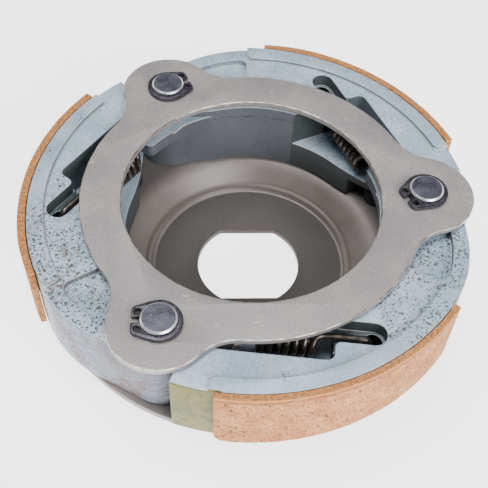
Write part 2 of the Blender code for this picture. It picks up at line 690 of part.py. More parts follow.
def curve_between(start, start_way, end, end_way):
    """Inner points of a smooth curve that leaves one point and reaches another along given ways."""
    handle = (end - start).length * LEAD_HANDLE_SHARE
    first = start + start_way.normalized() * handle
    second = end - end_way.normalized() * handle
    points = []
    for i in range(1, LEAD_STEPS):
        t = i / LEAD_STEPS
        u = 1 - t
        points.append(start * u ** 3 + first * 3 * u ** 2 * t + second * 3 * u * t ** 2 + end * t ** 3)
    return points


def spring_path():
    """Centre line: bent far end, close-wound coil, long near leg and its bent end."""
    coil = []
    turns_deg = COIL_TURNS * 360 - 2 * COIL_LEAD_DEG
    steps = math.ceil(turns_deg / 360 * WIRE_STEPS_PER_TURN)
    for i in range(steps + 1):
        turn = COIL_LEAD_DEG + turns_deg * i / steps
        angle = math.radians(90 + turn)
        along = COIL_START + COIL_LENGTH * turn / (COIL_TURNS * 360)
        across = COIL_MEAN_R * math.cos(angle)
        coil.append(spring_place(along, across, SPRING_Z + COIL_MEAN_R * math.sin(angle)))
    way = ALONG_SPRING.to_3d()
    far_end = bent_end(0, FAR_LEG_Z, -1)[::-1]
    near_end = bent_end(SPRING_LENGTH, NEAR_LEG_Z, 1)
    near_leg = spring_place(COIL_START + COIL_LENGTH + LEAD_LENGTH, 0, NEAR_LEG_Z)
    far_lead = curve_between(far_end[-1], way, coil[0], coil[1] - coil[0])
    near_lead = curve_between(coil[-1], coil[-1] - coil[-2], near_leg, way)
    return far_end + far_lead + coil + near_lead + [near_leg] + near_end


def spring_curve():
    path = spring_path()
    curve = bpy.data.curves.new("spring", "CURVE")
    curve.dimensions = "3D"
    curve.bevel_depth = WIRE_R
    curve.bevel_resolution = 1
    curve.use_fill_caps = True
    spline = curve.splines.new("POLY")
    spline.points.add(len(path) - 1)
    for point, place in zip(spline.points, path):
        point.co = (place.x - PIN_CIRCLE_R, place.y, place.z, 1.0)
    return curve


def stud_profile():
    rubber_low = FLANGE_TOP + SEAT_GAP
    head_high = SHELF_UNDERSIDE - SEAT_GAP
    head_low = head_high - STUD_HEAD_HEIGHT
    neck_r = STUD_R - SEAT_GAP
    tail_high = FLANGE_UNDERSIDE - SEAT_GAP
    tail_low = tail_high - STUD_HEAD_HEIGHT
    return [
        (0, tail_low),
        (STUD_HEAD_R, tail_low),
        (STUD_HEAD_R, tail_high),
        (neck_r, tail_high),
        (neck_r, rubber_low),
        (STUD_R, rubber_low),
        (STUD_R, head_low),
        (STUD_HEAD_R, head_low),
        (STUD_HEAD_R, head_high),
        (0, head_high),
    ]


def rubber_profile():
    low = FLANGE_TOP + SEAT_GAP
    high = SHELF_UNDERSIDE - 2 * SEAT_GAP - STUD_HEAD_HEIGHT
    inner_r = STUD_R + SEAT_GAP
    return [
        (inner_r, low),
        (RUBBER_R - RUBBER_EDGE, low),
        (RUBBER_R, low + RUBBER_EDGE),
        (RUBBER_R, high - RUBBER_EDGE),
        (RUBBER_R - RUBBER_EDGE, high),
        (inner_r, high),
    ]


def place_copy(name, data, material, location, turn_deg=0.0, parent=None):
    obj = add_object(name, data)
    if not data.materials:
        data.materials.append(material)
    obj.location = location
    obj.rotation_euler = (0, 0, math.radians(turn_deg))
    obj.parent = parent
    return obj


def turned_mesh(name, profile, steps):
    obj = turned(name, profile, steps)
    shade(obj)
    mesh = obj.data
    bpy.data.objects.remove(obj)
    return mesh


def main():
    for obj in list(bpy.data.objects):
        bpy.data.objects.remove(obj)

    plate_steel = make_material("plate_steel", (0.30, 0.28, 0.26), 0.45, 1.0)
    pressed_steel = make_material("pressed_steel", (0.20, 0.18, 0.16), 0.4, 1.0)
    blackened_steel = make_material("blackened_steel", (0.05, 0.05, 0.06), 0.35, 1.0)
    spring_steel = make_material("spring_steel", (0.12, 0.10, 0.08), 0.35, 1.0)
    cast_aluminium = make_material("cast_aluminium", (0.50, 0.56, 0.60), 0.5, 1.0)
    friction_lining = make_material("friction_lining", (0.62, 0.38, 0.24), 0.9, 0.0)
    rubber = make_material("damper_rubber", (0.02, 0.02, 0.02), 0.8, 0.0)

    build_drive_plate(pressed_steel)
    build_side_plate(plate_steel)

    pin_mesh = turned_mesh("pivot_pin", pin_profile(), PIN_STEPS)
    stud_mesh = turned_mesh("damper_stud", stud_profile(), STUD_STEPS)
    rubber_mesh = turned_mesh("damper_rubber", rubber_profile(), STUD_STEPS)
    clip_mesh = circlip_mesh()
    casting = shoe_mesh()
    casting.materials.clear()
    pad = lining_mesh()
    coil = spring_curve()

    for number in range(1, SHOE_COUNT + 1):
        turn = station_deg(number)
        pin_place = polar(PIN_CIRCLE_R, turn).to_3d()
        stud_place = stud_centre(number).to_3d()
        clip_place = pin_place + Vector((0, 0, CIRCLIP_Z))
        place_copy(f"pivot_pin_{number}", pin_mesh, blackened_steel, pin_place, turn)
        clip_turn = CIRCLIP_TURN_DEG[(number - 1) % len(CIRCLIP_TURN_DEG)]
        place_copy(f"circlip_{number}", clip_mesh, blackened_steel, clip_place, clip_turn)
        place_copy(f"damper_stud_{number}", stud_mesh, blackened_steel, stud_place, turn)
        place_copy(f"damper_rubber_{number}", rubber_mesh, rubber, stud_place, turn)
        pivot = add_object(f"shoe_pivot_{number}", None)
        pivot.location = pin_place
        pivot.rotation_euler = (0, 0, math.radians(turn))
        shoe = place_copy(f"shoe_{number}", casting, cast_aluminium, (0, 0, 0), 0, pivot)
        shade(shoe)
        place_copy(f"lining_{number}", pad, friction_lining, (0, 0, 0), 0, pivot)
        place_copy(f"spring_{number}", coil, spring_steel, (0, 0, 0), 0, pivot)


main()
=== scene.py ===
"""The dressed centrifugal clutch: finer meshes and procedural materials over its plain solids.

The clutch axis is Z and the underside of the dish floor is at Z = 0. Station 2 lies on +X, and the stations
are numbered clockwise, seen from above. A shoe, its lining and its spring are drawn in the shoe's own plan,
which has its pivot pin on +X, and are then turned to their station.
"""
import math

import bmesh
import bpy
from mathutils import Matrix, Vector, noise
from mathutils.geometry import convex_hull_2d

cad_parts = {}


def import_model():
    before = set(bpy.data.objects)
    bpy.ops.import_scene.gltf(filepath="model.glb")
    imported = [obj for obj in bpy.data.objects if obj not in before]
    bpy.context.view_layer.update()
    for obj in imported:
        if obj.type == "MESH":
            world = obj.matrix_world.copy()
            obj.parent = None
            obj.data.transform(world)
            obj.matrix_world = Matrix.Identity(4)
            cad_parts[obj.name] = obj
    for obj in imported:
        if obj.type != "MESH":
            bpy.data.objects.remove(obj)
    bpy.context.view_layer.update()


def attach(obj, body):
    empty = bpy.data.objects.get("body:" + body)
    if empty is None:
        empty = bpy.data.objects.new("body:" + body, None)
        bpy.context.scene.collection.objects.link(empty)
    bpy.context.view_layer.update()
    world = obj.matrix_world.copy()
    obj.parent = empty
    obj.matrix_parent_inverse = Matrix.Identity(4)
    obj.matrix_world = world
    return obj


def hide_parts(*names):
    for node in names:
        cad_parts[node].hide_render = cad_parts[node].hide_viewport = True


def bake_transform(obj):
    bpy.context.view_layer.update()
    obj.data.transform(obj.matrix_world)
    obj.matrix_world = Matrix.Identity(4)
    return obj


MM = 0.001
SHOE_COUNT = 3
STATIONS = range(1, SHOE_COUNT + 1)
STATION_PITCH = 360.0 / SHOE_COUNT
FIRST_STATION = 120.0

# Clearances
SEAT_GAP = 0.3 * MM
RUNNING_GAP = 0.4 * MM
HOOK_GAP = 0.35 * MM

# Drive plate
PIN_CIRCLE_R = 46.5 * MM
PLATE_THICKNESS = 2.2 * MM
DISH_DEPTH = 7.7 * MM
FLANGE_OUTSET = 11.1 * MM
DISH_MOUTH_INSET = 11.6 * MM
MOUTH_ROUND_R = 8.0 * MM
FLOOR_ROUND_R = 1.6 * MM
BEAD_R = 28.4 * MM
BEAD_WIDTH = 1.5 * MM
BEAD_RISE = 1.0 * MM
BEAD_CROWN = 0.2 * MM
BEAD_FILLET = 0.3 * MM
VALLEY_SHARE = 0.6
VALLEY_DEPTH = 0.4 * MM
VALLEY_FILLET = 1.6 * MM
UNDER_MOUTH_R = 5.8 * MM
HUB_HOLE_R = 14.7 * MM
HUB_FLAT_INSET = 2.3 * MM

# Pivot pins
PIN_BEARING_R = 5.2 * MM
PIN_NECK_R = 4.5 * MM
PIN_CHAMFER = 0.4 * MM
PIN_EDGE = 0.12 * MM
PIN_TOP_RISE = 2.3 * MM
RIVET_R = 3.6 * MM
RIVET_HEAD_R = 5.0 * MM
RIVET_HEAD_HEIGHT = 1.2 * MM

# Circlips
CIRCLIP_THICKNESS = 1.0 * MM
GROOVE_DEPTH = 0.5 * MM
CIRCLIP_WIDTH = 1.5 * MM
CIRCLIP_GAP_HALF = 0.85 * MM
LUG_CORNER_R = 1.5 * MM
LUG_CORNER_DEG = 27.0
LUG_HOLE_R = 0.8 * MM
LUG_HOLE_DEG = 25.0
LUG_HOLE_OUTSET = 0.1 * MM
CIRCLIP_TURN_DEG = (23.0, 207.0, 179.0)

# Side plate
SIDE_THICKNESS = 1.7 * MM
SIDE_RING_INSET = 11.9 * MM
SIDE_RING_WIDTH = 10.9 * MM
SIDE_LOBE_R = 13.0 * MM
SIDE_FILLET_R = 12.0 * MM

# Shoe casting
SHOE_HEIGHT = 21.0 * MM
DRUM_OUTSET = 16.7 * MM
CONTACT_SWING_DEG = 2.46
SWING_DEG = 4.0
SHOE_INSET = 11.9 * MM
BOSS_R = 9.6 * MM
BOSS_WRAP_DEG = 183.0
BOSS_CLEARANCE = 2.7 * MM
SHOULDER_R = 35.0 * MM
TOE_END_DEG = -110.6
WALL_END_DEG = -76.0
WALL_START_DEG = -13.0
WALL_EASE = 10.0 * MM
SHELF_ROOT_DEG = -8.0
RIM_OUTSET = 8.4 * MM
RIM_HEIGHT = 1.1 * MM
RIM_START_DEG = -30.4
RIM_END_DEG = -101.5
RIM_CORNER_R = 2.0 * MM
RECESS_DEPTH = 2.0 * MM
RECESS_WALL = 4.2 * MM
RECESS_INSET = 8.5 * MM
RECESS_END_DEG = -30.0
RECESS_START_DEG = -5.0
RECESS_CORNER_R = 2.2 * MM
RECESS_BOSS_WALL = 2.2 * MM

# Tail arm that the neighbour's spring hooks on
ARM_THICKNESS = 4.2 * MM
ARM_DROP = 0.9 * MM
ARM_INSET = 0.5 * MM
ARM_OUTER_WIDTH = 4.2 * MM
ARM_TIP_LENGTH = 2.7 * MM
ARM_CORNER_R = 1.6 * MM
ARM_ROOT_DEG = 6.0
ARM_LAP_DEG = 3.0
WALL_RAMP_DEG = 5.0
WALL_TOP_END_DEG = 3.0

# Springs
WIRE_R = 0.9 * MM
COIL_R = 4.2 * MM
COIL_TURN_GAP = 0.25 * MM
COIL_LEAD_DEG = 80.0
FAR_LEG = 7.7 * MM
NEAR_LEG = 13.3 * MM
BEND_R = 1.5 * MM
LEAD_LENGTH = 2.5 * MM
LEAD_HANDLE_SHARE = 0.55
HOOK_DROP = 5.0 * MM
WIRE_END_SHARE = 0.8
NEAR_ANCHOR_OUTSET = 4.0 * MM
NEAR_ANCHOR_DEG = -57.2
FAR_ANCHOR_INSET = 7.7 * MM
FAR_ANCHOR_DEG = -101.5

# Spring pocket and hook slot in the shoe's top
LEDGE_HEIGHT = 9.0 * MM
SPRING_FLOOR_GAP = 1.4 * MM
POCKET_CLEARANCE = 4.2 * MM
POCKET_END_INSET = 8.4 * MM
POCKET_CORNER_R = 2.0 * MM
SLOT_CORNER_R = 1.5 * MM
SLOT_HALF_WIDTH = 3.1 * MM
SLOT_FLOOR_RISE = 7.7 * MM
SLOT_END_OUTSET = 0.9 * MM
HOOK_WELL_R = 2.5 * MM

# Linings
LINING_THICKNESS = 2.1 * MM
LINING_START_DEG = -35.5
LINING_END_DEG = -100.0
LINING_WEAR = (0.0, 0.5 * MM, 0.0)
LINING_TAPER_LENGTH = 11.0 * MM
LINING_TAPER = 0.5 * MM
LINING_WORN_CORNER_R = 3.0 * MM
LINING_CRUMB_WIDTH = 0.5 * MM
LINING_CRUMB_DEPTH = 0.25 * MM
LINING_CRUMB_LEAST = 0.35
LINING_ROUGHNESS = 0.04 * MM
LINING_RAGGED_LEAST = 2
LINING_RAGGED_CRUMB = 3

# Noise on the linings: cycles per degree and per millimetre of height, then the place across the thickness
ROUGH_PER_DEG = 1.3
ROUGH_PER_MM = 0.8
ROUGH_LAYER = 7.0
CRUMB_PER_DEG = 2.9
CRUMB_PER_MM = 1.7
CRUMB_PER_DEPTH = 2.0

# Damper studs under the toes
SHELF_THICKNESS = 2.8 * MM
STUD_INSET = 3.0 * MM
STUD_DEG = -94.3
STUD_R = 2.6 * MM
STUD_HEAD_R = 3.8 * MM
STUD_HEAD_HEIGHT = 0.8 * MM
RUBBER_R = 4.6 * MM
RUBBER_EDGE = 0.5 * MM
STUD_SWING_ROOM = 9.0 * MM

# Facets
ARC_STEP_DEG = 1.25
RIM_FACET_HALF_DEG = 0.5
ARM_STEP_DEG = 4.6
BOSS_STEP_DEG = 5.0
CLEARANCE_STEP_DEG = 4.5
FILLET_STEP_DEG = 3.0
CORNER_STEP_DEG = 15.0
HOLE_STEP_DEG = 7.5
DISH_STEPS = 288
PIN_STEPS = 96
STUD_STEPS = 48
WIRE_STEPS_PER_TURN = 40
WIRE_SIDES = 14
BEND_STEPS = 8
LEAD_STEPS = 12
RAMP_STEPS = 10
EASE_STEPS = 15
LINING_LONG_STEPS = 420
LINING_HIGH_STEPS = 44
LINING_DEEP_STEPS = 5
CUT_MARGIN = 1.0 * MM
CUT_REACH = 15.5 * MM
JOIN_OVERLAP = 0.5 * MM
DISH_FILLET_STEPS = 6
PIN_FILLET_STEPS = 4
RUBBER_FILLET_STEPS = 5

# Edge rounding
CAST_EDGE = 0.22 * MM
STAMPED_EDGE = 0.28 * MM
CLIP_EDGE = 0.14 * MM
EDGE_SEGMENTS = 3
CLIP_EDGE_SEGMENTS = 2
ROUND_OVER_DEG = 30.0
PLATE_ROUND_OVER_DEG = 40.0
CLIP_ROUND_OVER_DEG = 35.0
SHARP_DEG = 32.0
TURNED_SHARP_DEG = 40.0
SKIN_SHARP_DEG = 50.0
FLAT_DEG = 0.2
WELD_DISTANCE = 1e-7
SHORT_EDGE = 2e-6

# Derived sizes
LINING_OUTER_R = PIN_CIRCLE_R + DRUM_OUTSET
SHOE_OUTER_R = LINING_OUTER_R - LINING_THICKNESS - SEAT_GAP
SHOE_INNER_R = PIN_CIRCLE_R - SHOE_INSET
BEARING_BORE_R = PIN_BEARING_R + SEAT_GAP
HUB_FLAT_HALF = HUB_HOLE_R - HUB_FLAT_INSET
COIL_MEAN_R = COIL_R - WIRE_R
COIL_PITCH = 2 * WIRE_R + COIL_TURN_GAP
POCKET_OUTER = COIL_R + POCKET_CLEARANCE
CIRCLIP_INNER_R = PIN_NECK_R - GROOVE_DEPTH / 2
CIRCLIP_OUTER_R = CIRCLIP_INNER_R + CIRCLIP_WIDTH

# Derived heights
FLANGE_TOP = PLATE_THICKNESS + DISH_DEPTH
FLANGE_UNDERSIDE = DISH_DEPTH
SHOE_BOTTOM = FLANGE_TOP + RUNNING_GAP
SHOE_TOP = SHOE_BOTTOM + SHOE_HEIGHT
LEDGE_Z = SHOE_BOTTOM + LEDGE_HEIGHT
SHELF_UNDERSIDE = LEDGE_Z - SHELF_THICKNESS
SPRING_Z = LEDGE_Z + SPRING_FLOOR_GAP + COIL_R
SIDE_BOTTOM = SHOE_TOP + SEAT_GAP
SIDE_TOP = SIDE_BOTTOM + SIDE_THICKNESS
PIN_TOP = SIDE_TOP + PIN_TOP_RISE
CIRCLIP_Z = SIDE_TOP + SEAT_GAP
RIM_TOP = SHOE_TOP + RIM_HEIGHT
SLOT_FLOOR_Z = LEDGE_Z + SLOT_FLOOR_RISE
ARM_LOW = SPRING_Z - ARM_DROP
ARM_HIGH = ARM_LOW + ARM_THICKNESS
NEAR_LEG_Z = SPRING_Z + COIL_MEAN_R
FAR_LEG_Z = ARM_HIGH + HOOK_GAP + WIRE_R

# How strongly each shoe is pitted and where most, and its brown patches: place, reach and strength
SHOE_WEAR = {
    1: (0.35, (20 * MM, 48 * MM, 31 * MM), []),
    2: (0.95, (56 * MM, -20 * MM, 31 * MM), [((45 * MM, -17 * MM, 31 * MM), 7 * MM, 0.4)]),
    3: (1.0, (-48 * MM, -24 * MM, 31 * MM), [
        ((-47 * MM, -18 * MM, 31 * MM), 6 * MM, 0.8),
        ((-49 * MM, -28 * MM, 31 * MM), 5 * MM, 0.8),
        ((-57 * MM, -9 * MM, 32 * MM), 5 * MM, 0.7),
        ((-30 * MM, -46 * MM, 24 * MM), 9 * MM, 0.6),
        ((-44 * MM, -27 * MM, 29 * MM), 13 * MM, 0.55),
    ]),
}
PITTED_REACH = 58 * MM
PARTING_DROP = 3.5 * MM
PARTING_Z = SHOE_TOP - PARTING_DROP

# Other wear and dirt, a darker lobe on the side plate, and the painted shadow under the circlips' lug holes
NOISE_SPAN = (0.3, 0.7)
SCRATCH_SOFTNESS = 0.04
PICK_SOFTNESS = 0.02
DARKER_LOBE = (-24 * MM, -42 * MM, SIDE_TOP)
DARKER_REACH = 24 * MM
LUG_SHADOW_SHARE = 1.8

# Camera, at the photograph's place in the clutch frame
CAMERA_PLACE = (-11.04 * MM, -152.6 * MM, 211.1 * MM)
CAMERA_AIM = (-2.52 * MM, -16.92 * MM, 33.3 * MM)
CAMERA_ROLL_DEG = 2.68
CAMERA_LENS = 65.09
CAMERA_SENSOR = 36.0
CAMERA_CLIP_START = 0.01

# Floor, lights as name, place and power, and the sky with its haze
FLOOR_REACH = 3.0
FLOOR_COLOUR = (0.9, 0.9, 0.9)
FLOOR_GLOW = 2.4
LIGHTS = (("key", (-0.15, 0.05, 0.8), 6.5), ("fill", (0.4, -0.6, 0.5), 8.0))
LIGHT_SIZE = 0.45
LIGHT_AIM = (0, 0, 0.02)
OVERHEAD_LIGHT = 1.2
HORIZON_LIGHT = 0.45
HAZE_HEIGHT = 0.16
HAZE_GLOW = 50.0


def polar(radius, degrees):
    angle = math.radians(degrees)
    return Vector((radius * math.cos(angle), radius * math.sin(angle)))


def station_deg(number):
    return FIRST_STATION - STATION_PITCH * (number - 1)


def pin_centre(number):
    return polar(PIN_CIRCLE_R, station_deg(number))


def about_z(degrees):
    return Matrix.Rotation(math.radians(degrees), 4, "Z")


AXIS = Vector((0, 0))
PIN = polar(PIN_CIRCLE_R, 0)
NEXT_PIN = polar(PIN_CIRCLE_R, -STATION_PITCH)
DRUM_CENTRE = PIN - polar(PIN_CIRCLE_R, -CONTACT_SWING_DEG)
NEAR_ANCHOR = polar(PIN_CIRCLE_R + NEAR_ANCHOR_OUTSET, NEAR_ANCHOR_DEG)
FAR_ANCHOR = polar(PIN_CIRCLE_R - FAR_ANCHOR_INSET, FAR_ANCHOR_DEG)
SPRING_LENGTH = (NEAR_ANCHOR - FAR_ANCHOR).length
ALONG_SPRING = (NEAR_ANCHOR - FAR_ANCHOR).normalized()
ACROSS_SPRING = Vector((ALONG_SPRING.y, -ALONG_SPRING.x))
COIL_TURNS = max(2, round((SPRING_LENGTH - FAR_LEG - NEAR_LEG) / COIL_PITCH))
COIL_LENGTH = COIL_TURNS * COIL_PITCH
COIL_START = FAR_LEG
SPRING_DEG = math.degrees(math.atan2(ALONG_SPRING.y, ALONG_SPRING.x))
POCKET_END = SPRING_LENGTH - POCKET_END_INSET


# Plan geometry

def spring_point(along, across):
    """A plan point measured along the spring from its far anchor, and across it, outwards."""
    return FAR_ANCHOR + ALONG_SPRING * along + ACROSS_SPRING * across


def arc(centre, radius, start_deg, end_deg, step_deg=ARC_STEP_DEG):
    steps = max(1, math.ceil(abs(end_deg - start_deg) / step_deg))
    turn = (end_deg - start_deg) / steps
    return [centre + polar(radius, start_deg + turn * i) for i in range(steps + 1)]


def direction_deg(centre, point):
    offset = point - centre
    return math.degrees(math.atan2(offset.y, offset.x))


def ray_meets_circle(degrees, centre, radius):
    """The far point where a ray from the clutch axis meets a circle."""
    ray = polar(1.0, degrees)
    along = ray.dot(centre)
    return ray * (along + math.sqrt(radius ** 2 - centre.length_squared + along ** 2))


def arc_between_rays(centre, radius, start_deg, end_deg):
    """Part of a circle that lies between two rays from the clutch axis."""
    start = direction_deg(centre, ray_meets_circle(start_deg, centre, radius))
    end = direction_deg(centre, ray_meets_circle(end_deg, centre, radius))
    return arc(centre, radius, start, end)


# Mesh building

def finish_mesh(name, bm):
    bmesh.ops.remove_doubles(bm, verts=bm.verts, dist=WELD_DISTANCE)
    bmesh.ops.recalc_face_normals(bm, faces=bm.faces)
    mesh = bpy.data.meshes.new(name)
    bm.to_mesh(mesh)
    bm.free()
    return mesh


def add_object(name, mesh):
    obj = bpy.data.objects.new(name, mesh)
    bpy.context.scene.collection.objects.link(obj)
    return obj


def loft(name, bottom, bottom_z, top, top_z):
    """A closed solid between two plan outlines with the same number of points."""
    bm = bmesh.new()
    low = [bm.verts.new((p.x, p.y, bottom_z)) for p in bottom]
    high = [bm.verts.new((p.x, p.y, top_z)) for p in top]
    bm.faces.new(low)
    bm.faces.new(high)
    for i in range(len(low)):
        j = (i + 1) % len(low)
        bm.faces.new((low[i], low[j], high[j], high[i]))
    return add_object(name, finish_mesh(name, bm))


def prism(name, outline, bottom_z, top_z):
    return loft(name, outline, bottom_z, outline, top_z)


def disc(name, centre, radius, bottom_z, top_z, step_deg=HOLE_STEP_DEG):
    return prism(name, arc(centre, radius, 0, 360, step_deg)[:-1], bottom_z, top_z)


def turned(name, profile, steps):
    """A solid turned about Z from a profile of (radius, height) points, closed if it clears the axis."""
    bm = bmesh.new()
    verts = [bm.verts.new((r, 0, z)) for r, z in profile]
    edges = [bm.edges.new(pair) for pair in zip(verts, verts[1:])]
    if min(r for r, z in profile) > 0:
        edges.append(bm.edges.new((verts[-1], verts[0])))
    bmesh.ops.spin(bm, geom=verts + edges, axis=(0, 0, 1), angle=math.tau, steps=steps, use_merge=True)
    return add_object(name, finish_mesh(name, bm))


def apply_modifiers(obj):
    depsgraph = bpy.context.evaluated_depsgraph_get()
    mesh = bpy.data.meshes.new_from_object(obj.evaluated_get(depsgraph))
    obj.modifiers.clear()
    old = obj.data
    obj.data = mesh
    bpy.data.meshes.remove(old)


def cut(target, tool, operation="DIFFERENCE"):
    """Cuts the tool away from the target, or combines them another way, and removes the tool."""
    modifier = target.modifiers.new("cut", "BOOLEAN")
    modifier.operation = operation
    modifier.solver = "EXACT"
    modifier.object = tool
    apply_modifiers(target)
    bpy.data.objects.remove(tool)


def join(target, tool):
    cut(target, tool, "UNION")


def round_edges(obj, width, over_deg=ROUND_OVER_DEG, segments=EDGE_SEGMENTS, material_index=-1):
    """Rounds every edge sharper than an angle, after coplanar faces are merged."""
    bm = bmesh.new()
    bm.from_mesh(obj.data)
    bmesh.ops.remove_doubles(bm, verts=bm.verts, dist=SHORT_EDGE)
    bmesh.ops.dissolve_limit(bm, angle_limit=math.radians(FLAT_DEG), verts=bm.verts, edges=bm.edges)
    bm.to_mesh(obj.data)
    bm.free()
    bevel = obj.modifiers.new("round", "BEVEL")
    bevel.width = width
    bevel.segments = segments
    bevel.limit_method = "ANGLE"
    bevel.angle_limit = math.radians(over_deg)
    bevel.use_clamp_overlap = False
    bevel.material = material_index
    apply_modifiers(obj)


def shade(obj, sharp_deg=SHARP_DEG):
    obj.data.shade_smooth()
    obj.data.set_sharp_from_angle(angle=math.radians(sharp_deg))


def dress(obj, material, body, nodes):
    """Gives a finished piece its material, its body and the CAD nodes that it stands for."""
    if not obj.data.materials:
        obj.data.materials.append(material)
    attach(obj, body)
    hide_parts(*nodes)


def face_and_edge(obj, face_material, edge_material):
    obj.data.materials.clear()
    obj.data.materials.append(face_material)
    obj.data.materials.append(edge_material)


def at_station(name, mesh, number):
    """Turns a mesh drawn in the shoe's own plan to its station."""
    mesh.transform(about_z(station_deg(number)))
    return add_object(f"{name}_{number}_dressed", mesh)


def skin(name, rings):
    """A closed mesh over rings that all have the same number of points."""
    bm = bmesh.new()
    loops = [[bm.verts.new(point) for point in ring] for ring in rings]
    for loop, following in zip(loops, loops[1:]):
        for i in range(len(loop)):
            j = (i + 1) % len(loop)
            bm.faces.new((loop[i], loop[j], following[j], following[i]))
    bm.faces.new(loops[0])
    bm.faces.new(loops[-1])
    return finish_mesh(name, bm)


# Drive plate

def rounded_profile(corners, steps):
    """A profile through (radius, height, fillet) corners, each with its own fillet."""
    points = []
    for i, (r, z, fillet) in enumerate(corners):
        corner = Vector((r, z))
        if fillet == 0:
            points.append(corner)
            continue
        before = Vector(corners[i - 1][:2])
        after = Vector(corners[(i + 1) % len(corners)][:2])
        way_in = (corner - before).normalized()
        way_out = (after - corner).normalized()
        reach = fillet * math.tan(way_in.angle(way_out) / 2)
        start = corner - way_in * reach
        end = corner + way_out * reach
        for j in range(steps + 1):
            t = j / steps
            points.append(start.lerp(corner, t).lerp(corner.lerp(end, t), t))
    return points


def dish_profile():
    """The drive plate's half section: floor, bead with a valley outside it, slope, mouth and flange."""
    flange_r = PIN_CIRCLE_R + FLANGE_OUTSET
    mouth_r = PIN_CIRCLE_R - DISH_MOUTH_INSET
    foot_r = BEAD_R + BEAD_WIDTH / 2
    bead_top = PLATE_THICKNESS + BEAD_RISE + BEAD_CROWN
    slope = math.atan2(FLANGE_TOP - bead_top + VALLEY_DEPTH, mouth_r - foot_r)
    under_mouth_r = mouth_r + PLATE_THICKNESS * math.tan(slope / 2)
    return rounded_profile([
        (0, PLATE_THICKNESS, 0),
        (BEAD_R - BEAD_WIDTH / 2, PLATE_THICKNESS, 2 * BEAD_FILLET),
        (BEAD_R, bead_top, BEAD_FILLET),
        (foot_r, bead_top - VALLEY_DEPTH, VALLEY_FILLET),
        (mouth_r, FLANGE_TOP, MOUTH_ROUND_R),
        (flange_r, FLANGE_TOP, STAMPED_EDGE),
        (flange_r, FLANGE_UNDERSIDE, STAMPED_EDGE),
        (under_mouth_r, FLANGE_UNDERSIDE, UNDER_MOUTH_R),
        (foot_r, 0, FLOOR_ROUND_R),
        (0, 0, 0),
    ], DISH_FILLET_STEPS)


def hub_hole_outline():
    """A round hole with two flats parallel to X."""
    flat_deg = math.degrees(math.asin(HUB_FLAT_HALF / HUB_HOLE_R))
    right = arc(AXIS, HUB_HOLE_R, -flat_deg, flat_deg)
    left = arc(AXIS, HUB_HOLE_R, 180 - flat_deg, 180 + flat_deg)
    return right + left


def stud_centre(number):
    return polar(PIN_CIRCLE_R - STUD_INSET, station_deg(number) + STUD_DEG)


def make_drive_plate(material):
    plate = turned("drive_plate_dressed", dish_profile(), DISH_STEPS)
    cut(plate, prism("hub_hole", hub_hole_outline(), -CUT_MARGIN, FLANGE_TOP))
    low, high = FLANGE_UNDERSIDE - CUT_MARGIN, FLANGE_TOP + CUT_MARGIN
    for number in STATIONS:
        cut(plate, disc("rivet_hole", pin_centre(number), RIVET_R + SEAT_GAP, low, high))
        cut(plate, disc("stud_hole", stud_centre(number), STUD_R, low, high))
    round_edges(plate, STAMPED_EDGE, PLATE_ROUND_OVER_DEG)
    shade(plate)
    dress(plate, material, "carrier", ["drive_plate"])


# Side plate

def side_plate_outline():
    """Ring with a lobe at each pin; concave fillets run from lobe to ring."""
    ring_r = PIN_CIRCLE_R - SIDE_RING_INSET + SIDE_RING_WIDTH
    to_pin = SIDE_LOBE_R + SIDE_FILLET_R
    to_axis = ring_r + SIDE_FILLET_R
    fillet_x = (PIN_CIRCLE_R ** 2 + to_axis ** 2 - to_pin ** 2) / (2 * PIN_CIRCLE_R)
    fillet_y = math.sqrt(to_axis ** 2 - fillet_x ** 2)
    fillet_deg = math.degrees(math.atan2(fillet_y, fillet_x))
    lobe_end = direction_deg(PIN, polar(to_axis, fillet_deg))
    outline = []
    for i in range(SHOE_COUNT):
        turn = i * STATION_PITCH
        pin = polar(PIN_CIRCLE_R, turn)
        before = polar(to_axis, turn - fillet_deg)
        after = polar(to_axis, turn + fillet_deg)
        back = turn + 180
        ahead = turn - 180
        outline += arc(before, SIDE_FILLET_R, back - fillet_deg, back - lobe_end, FILLET_STEP_DEG)[:-1]
        outline += arc(pin, SIDE_LOBE_R, turn - lobe_end, turn + lobe_end, FILLET_STEP_DEG)
        outline += arc(after, SIDE_FILLET_R, ahead + lobe_end, ahead + fillet_deg, FILLET_STEP_DEG)[1:]
        outline += arc(AXIS, ring_r, turn + fillet_deg, turn + STATION_PITCH - fillet_deg)[1:-1]
    return outline


def make_side_plate(material, edge_material):
    plate = prism("side_plate_dressed", side_plate_outline(), SIDE_BOTTOM, SIDE_TOP)
    low, high = SIDE_BOTTOM - CUT_MARGIN, SIDE_TOP + CUT_MARGIN
    cut(plate, disc("opening", AXIS, PIN_CIRCLE_R - SIDE_RING_INSET, low, high, ARC_STEP_DEG))
    for number in STATIONS:
        cut(plate, disc("pin_hole", pin_centre(number), PIN_NECK_R + SEAT_GAP, low, high))
    face_and_edge(plate, material, edge_material)
    round_edges(plate, STAMPED_EDGE, material_index=1)
    shade(plate)
    dress(plate, material, "carrier", ["side_plate"])


# Pins and circlips

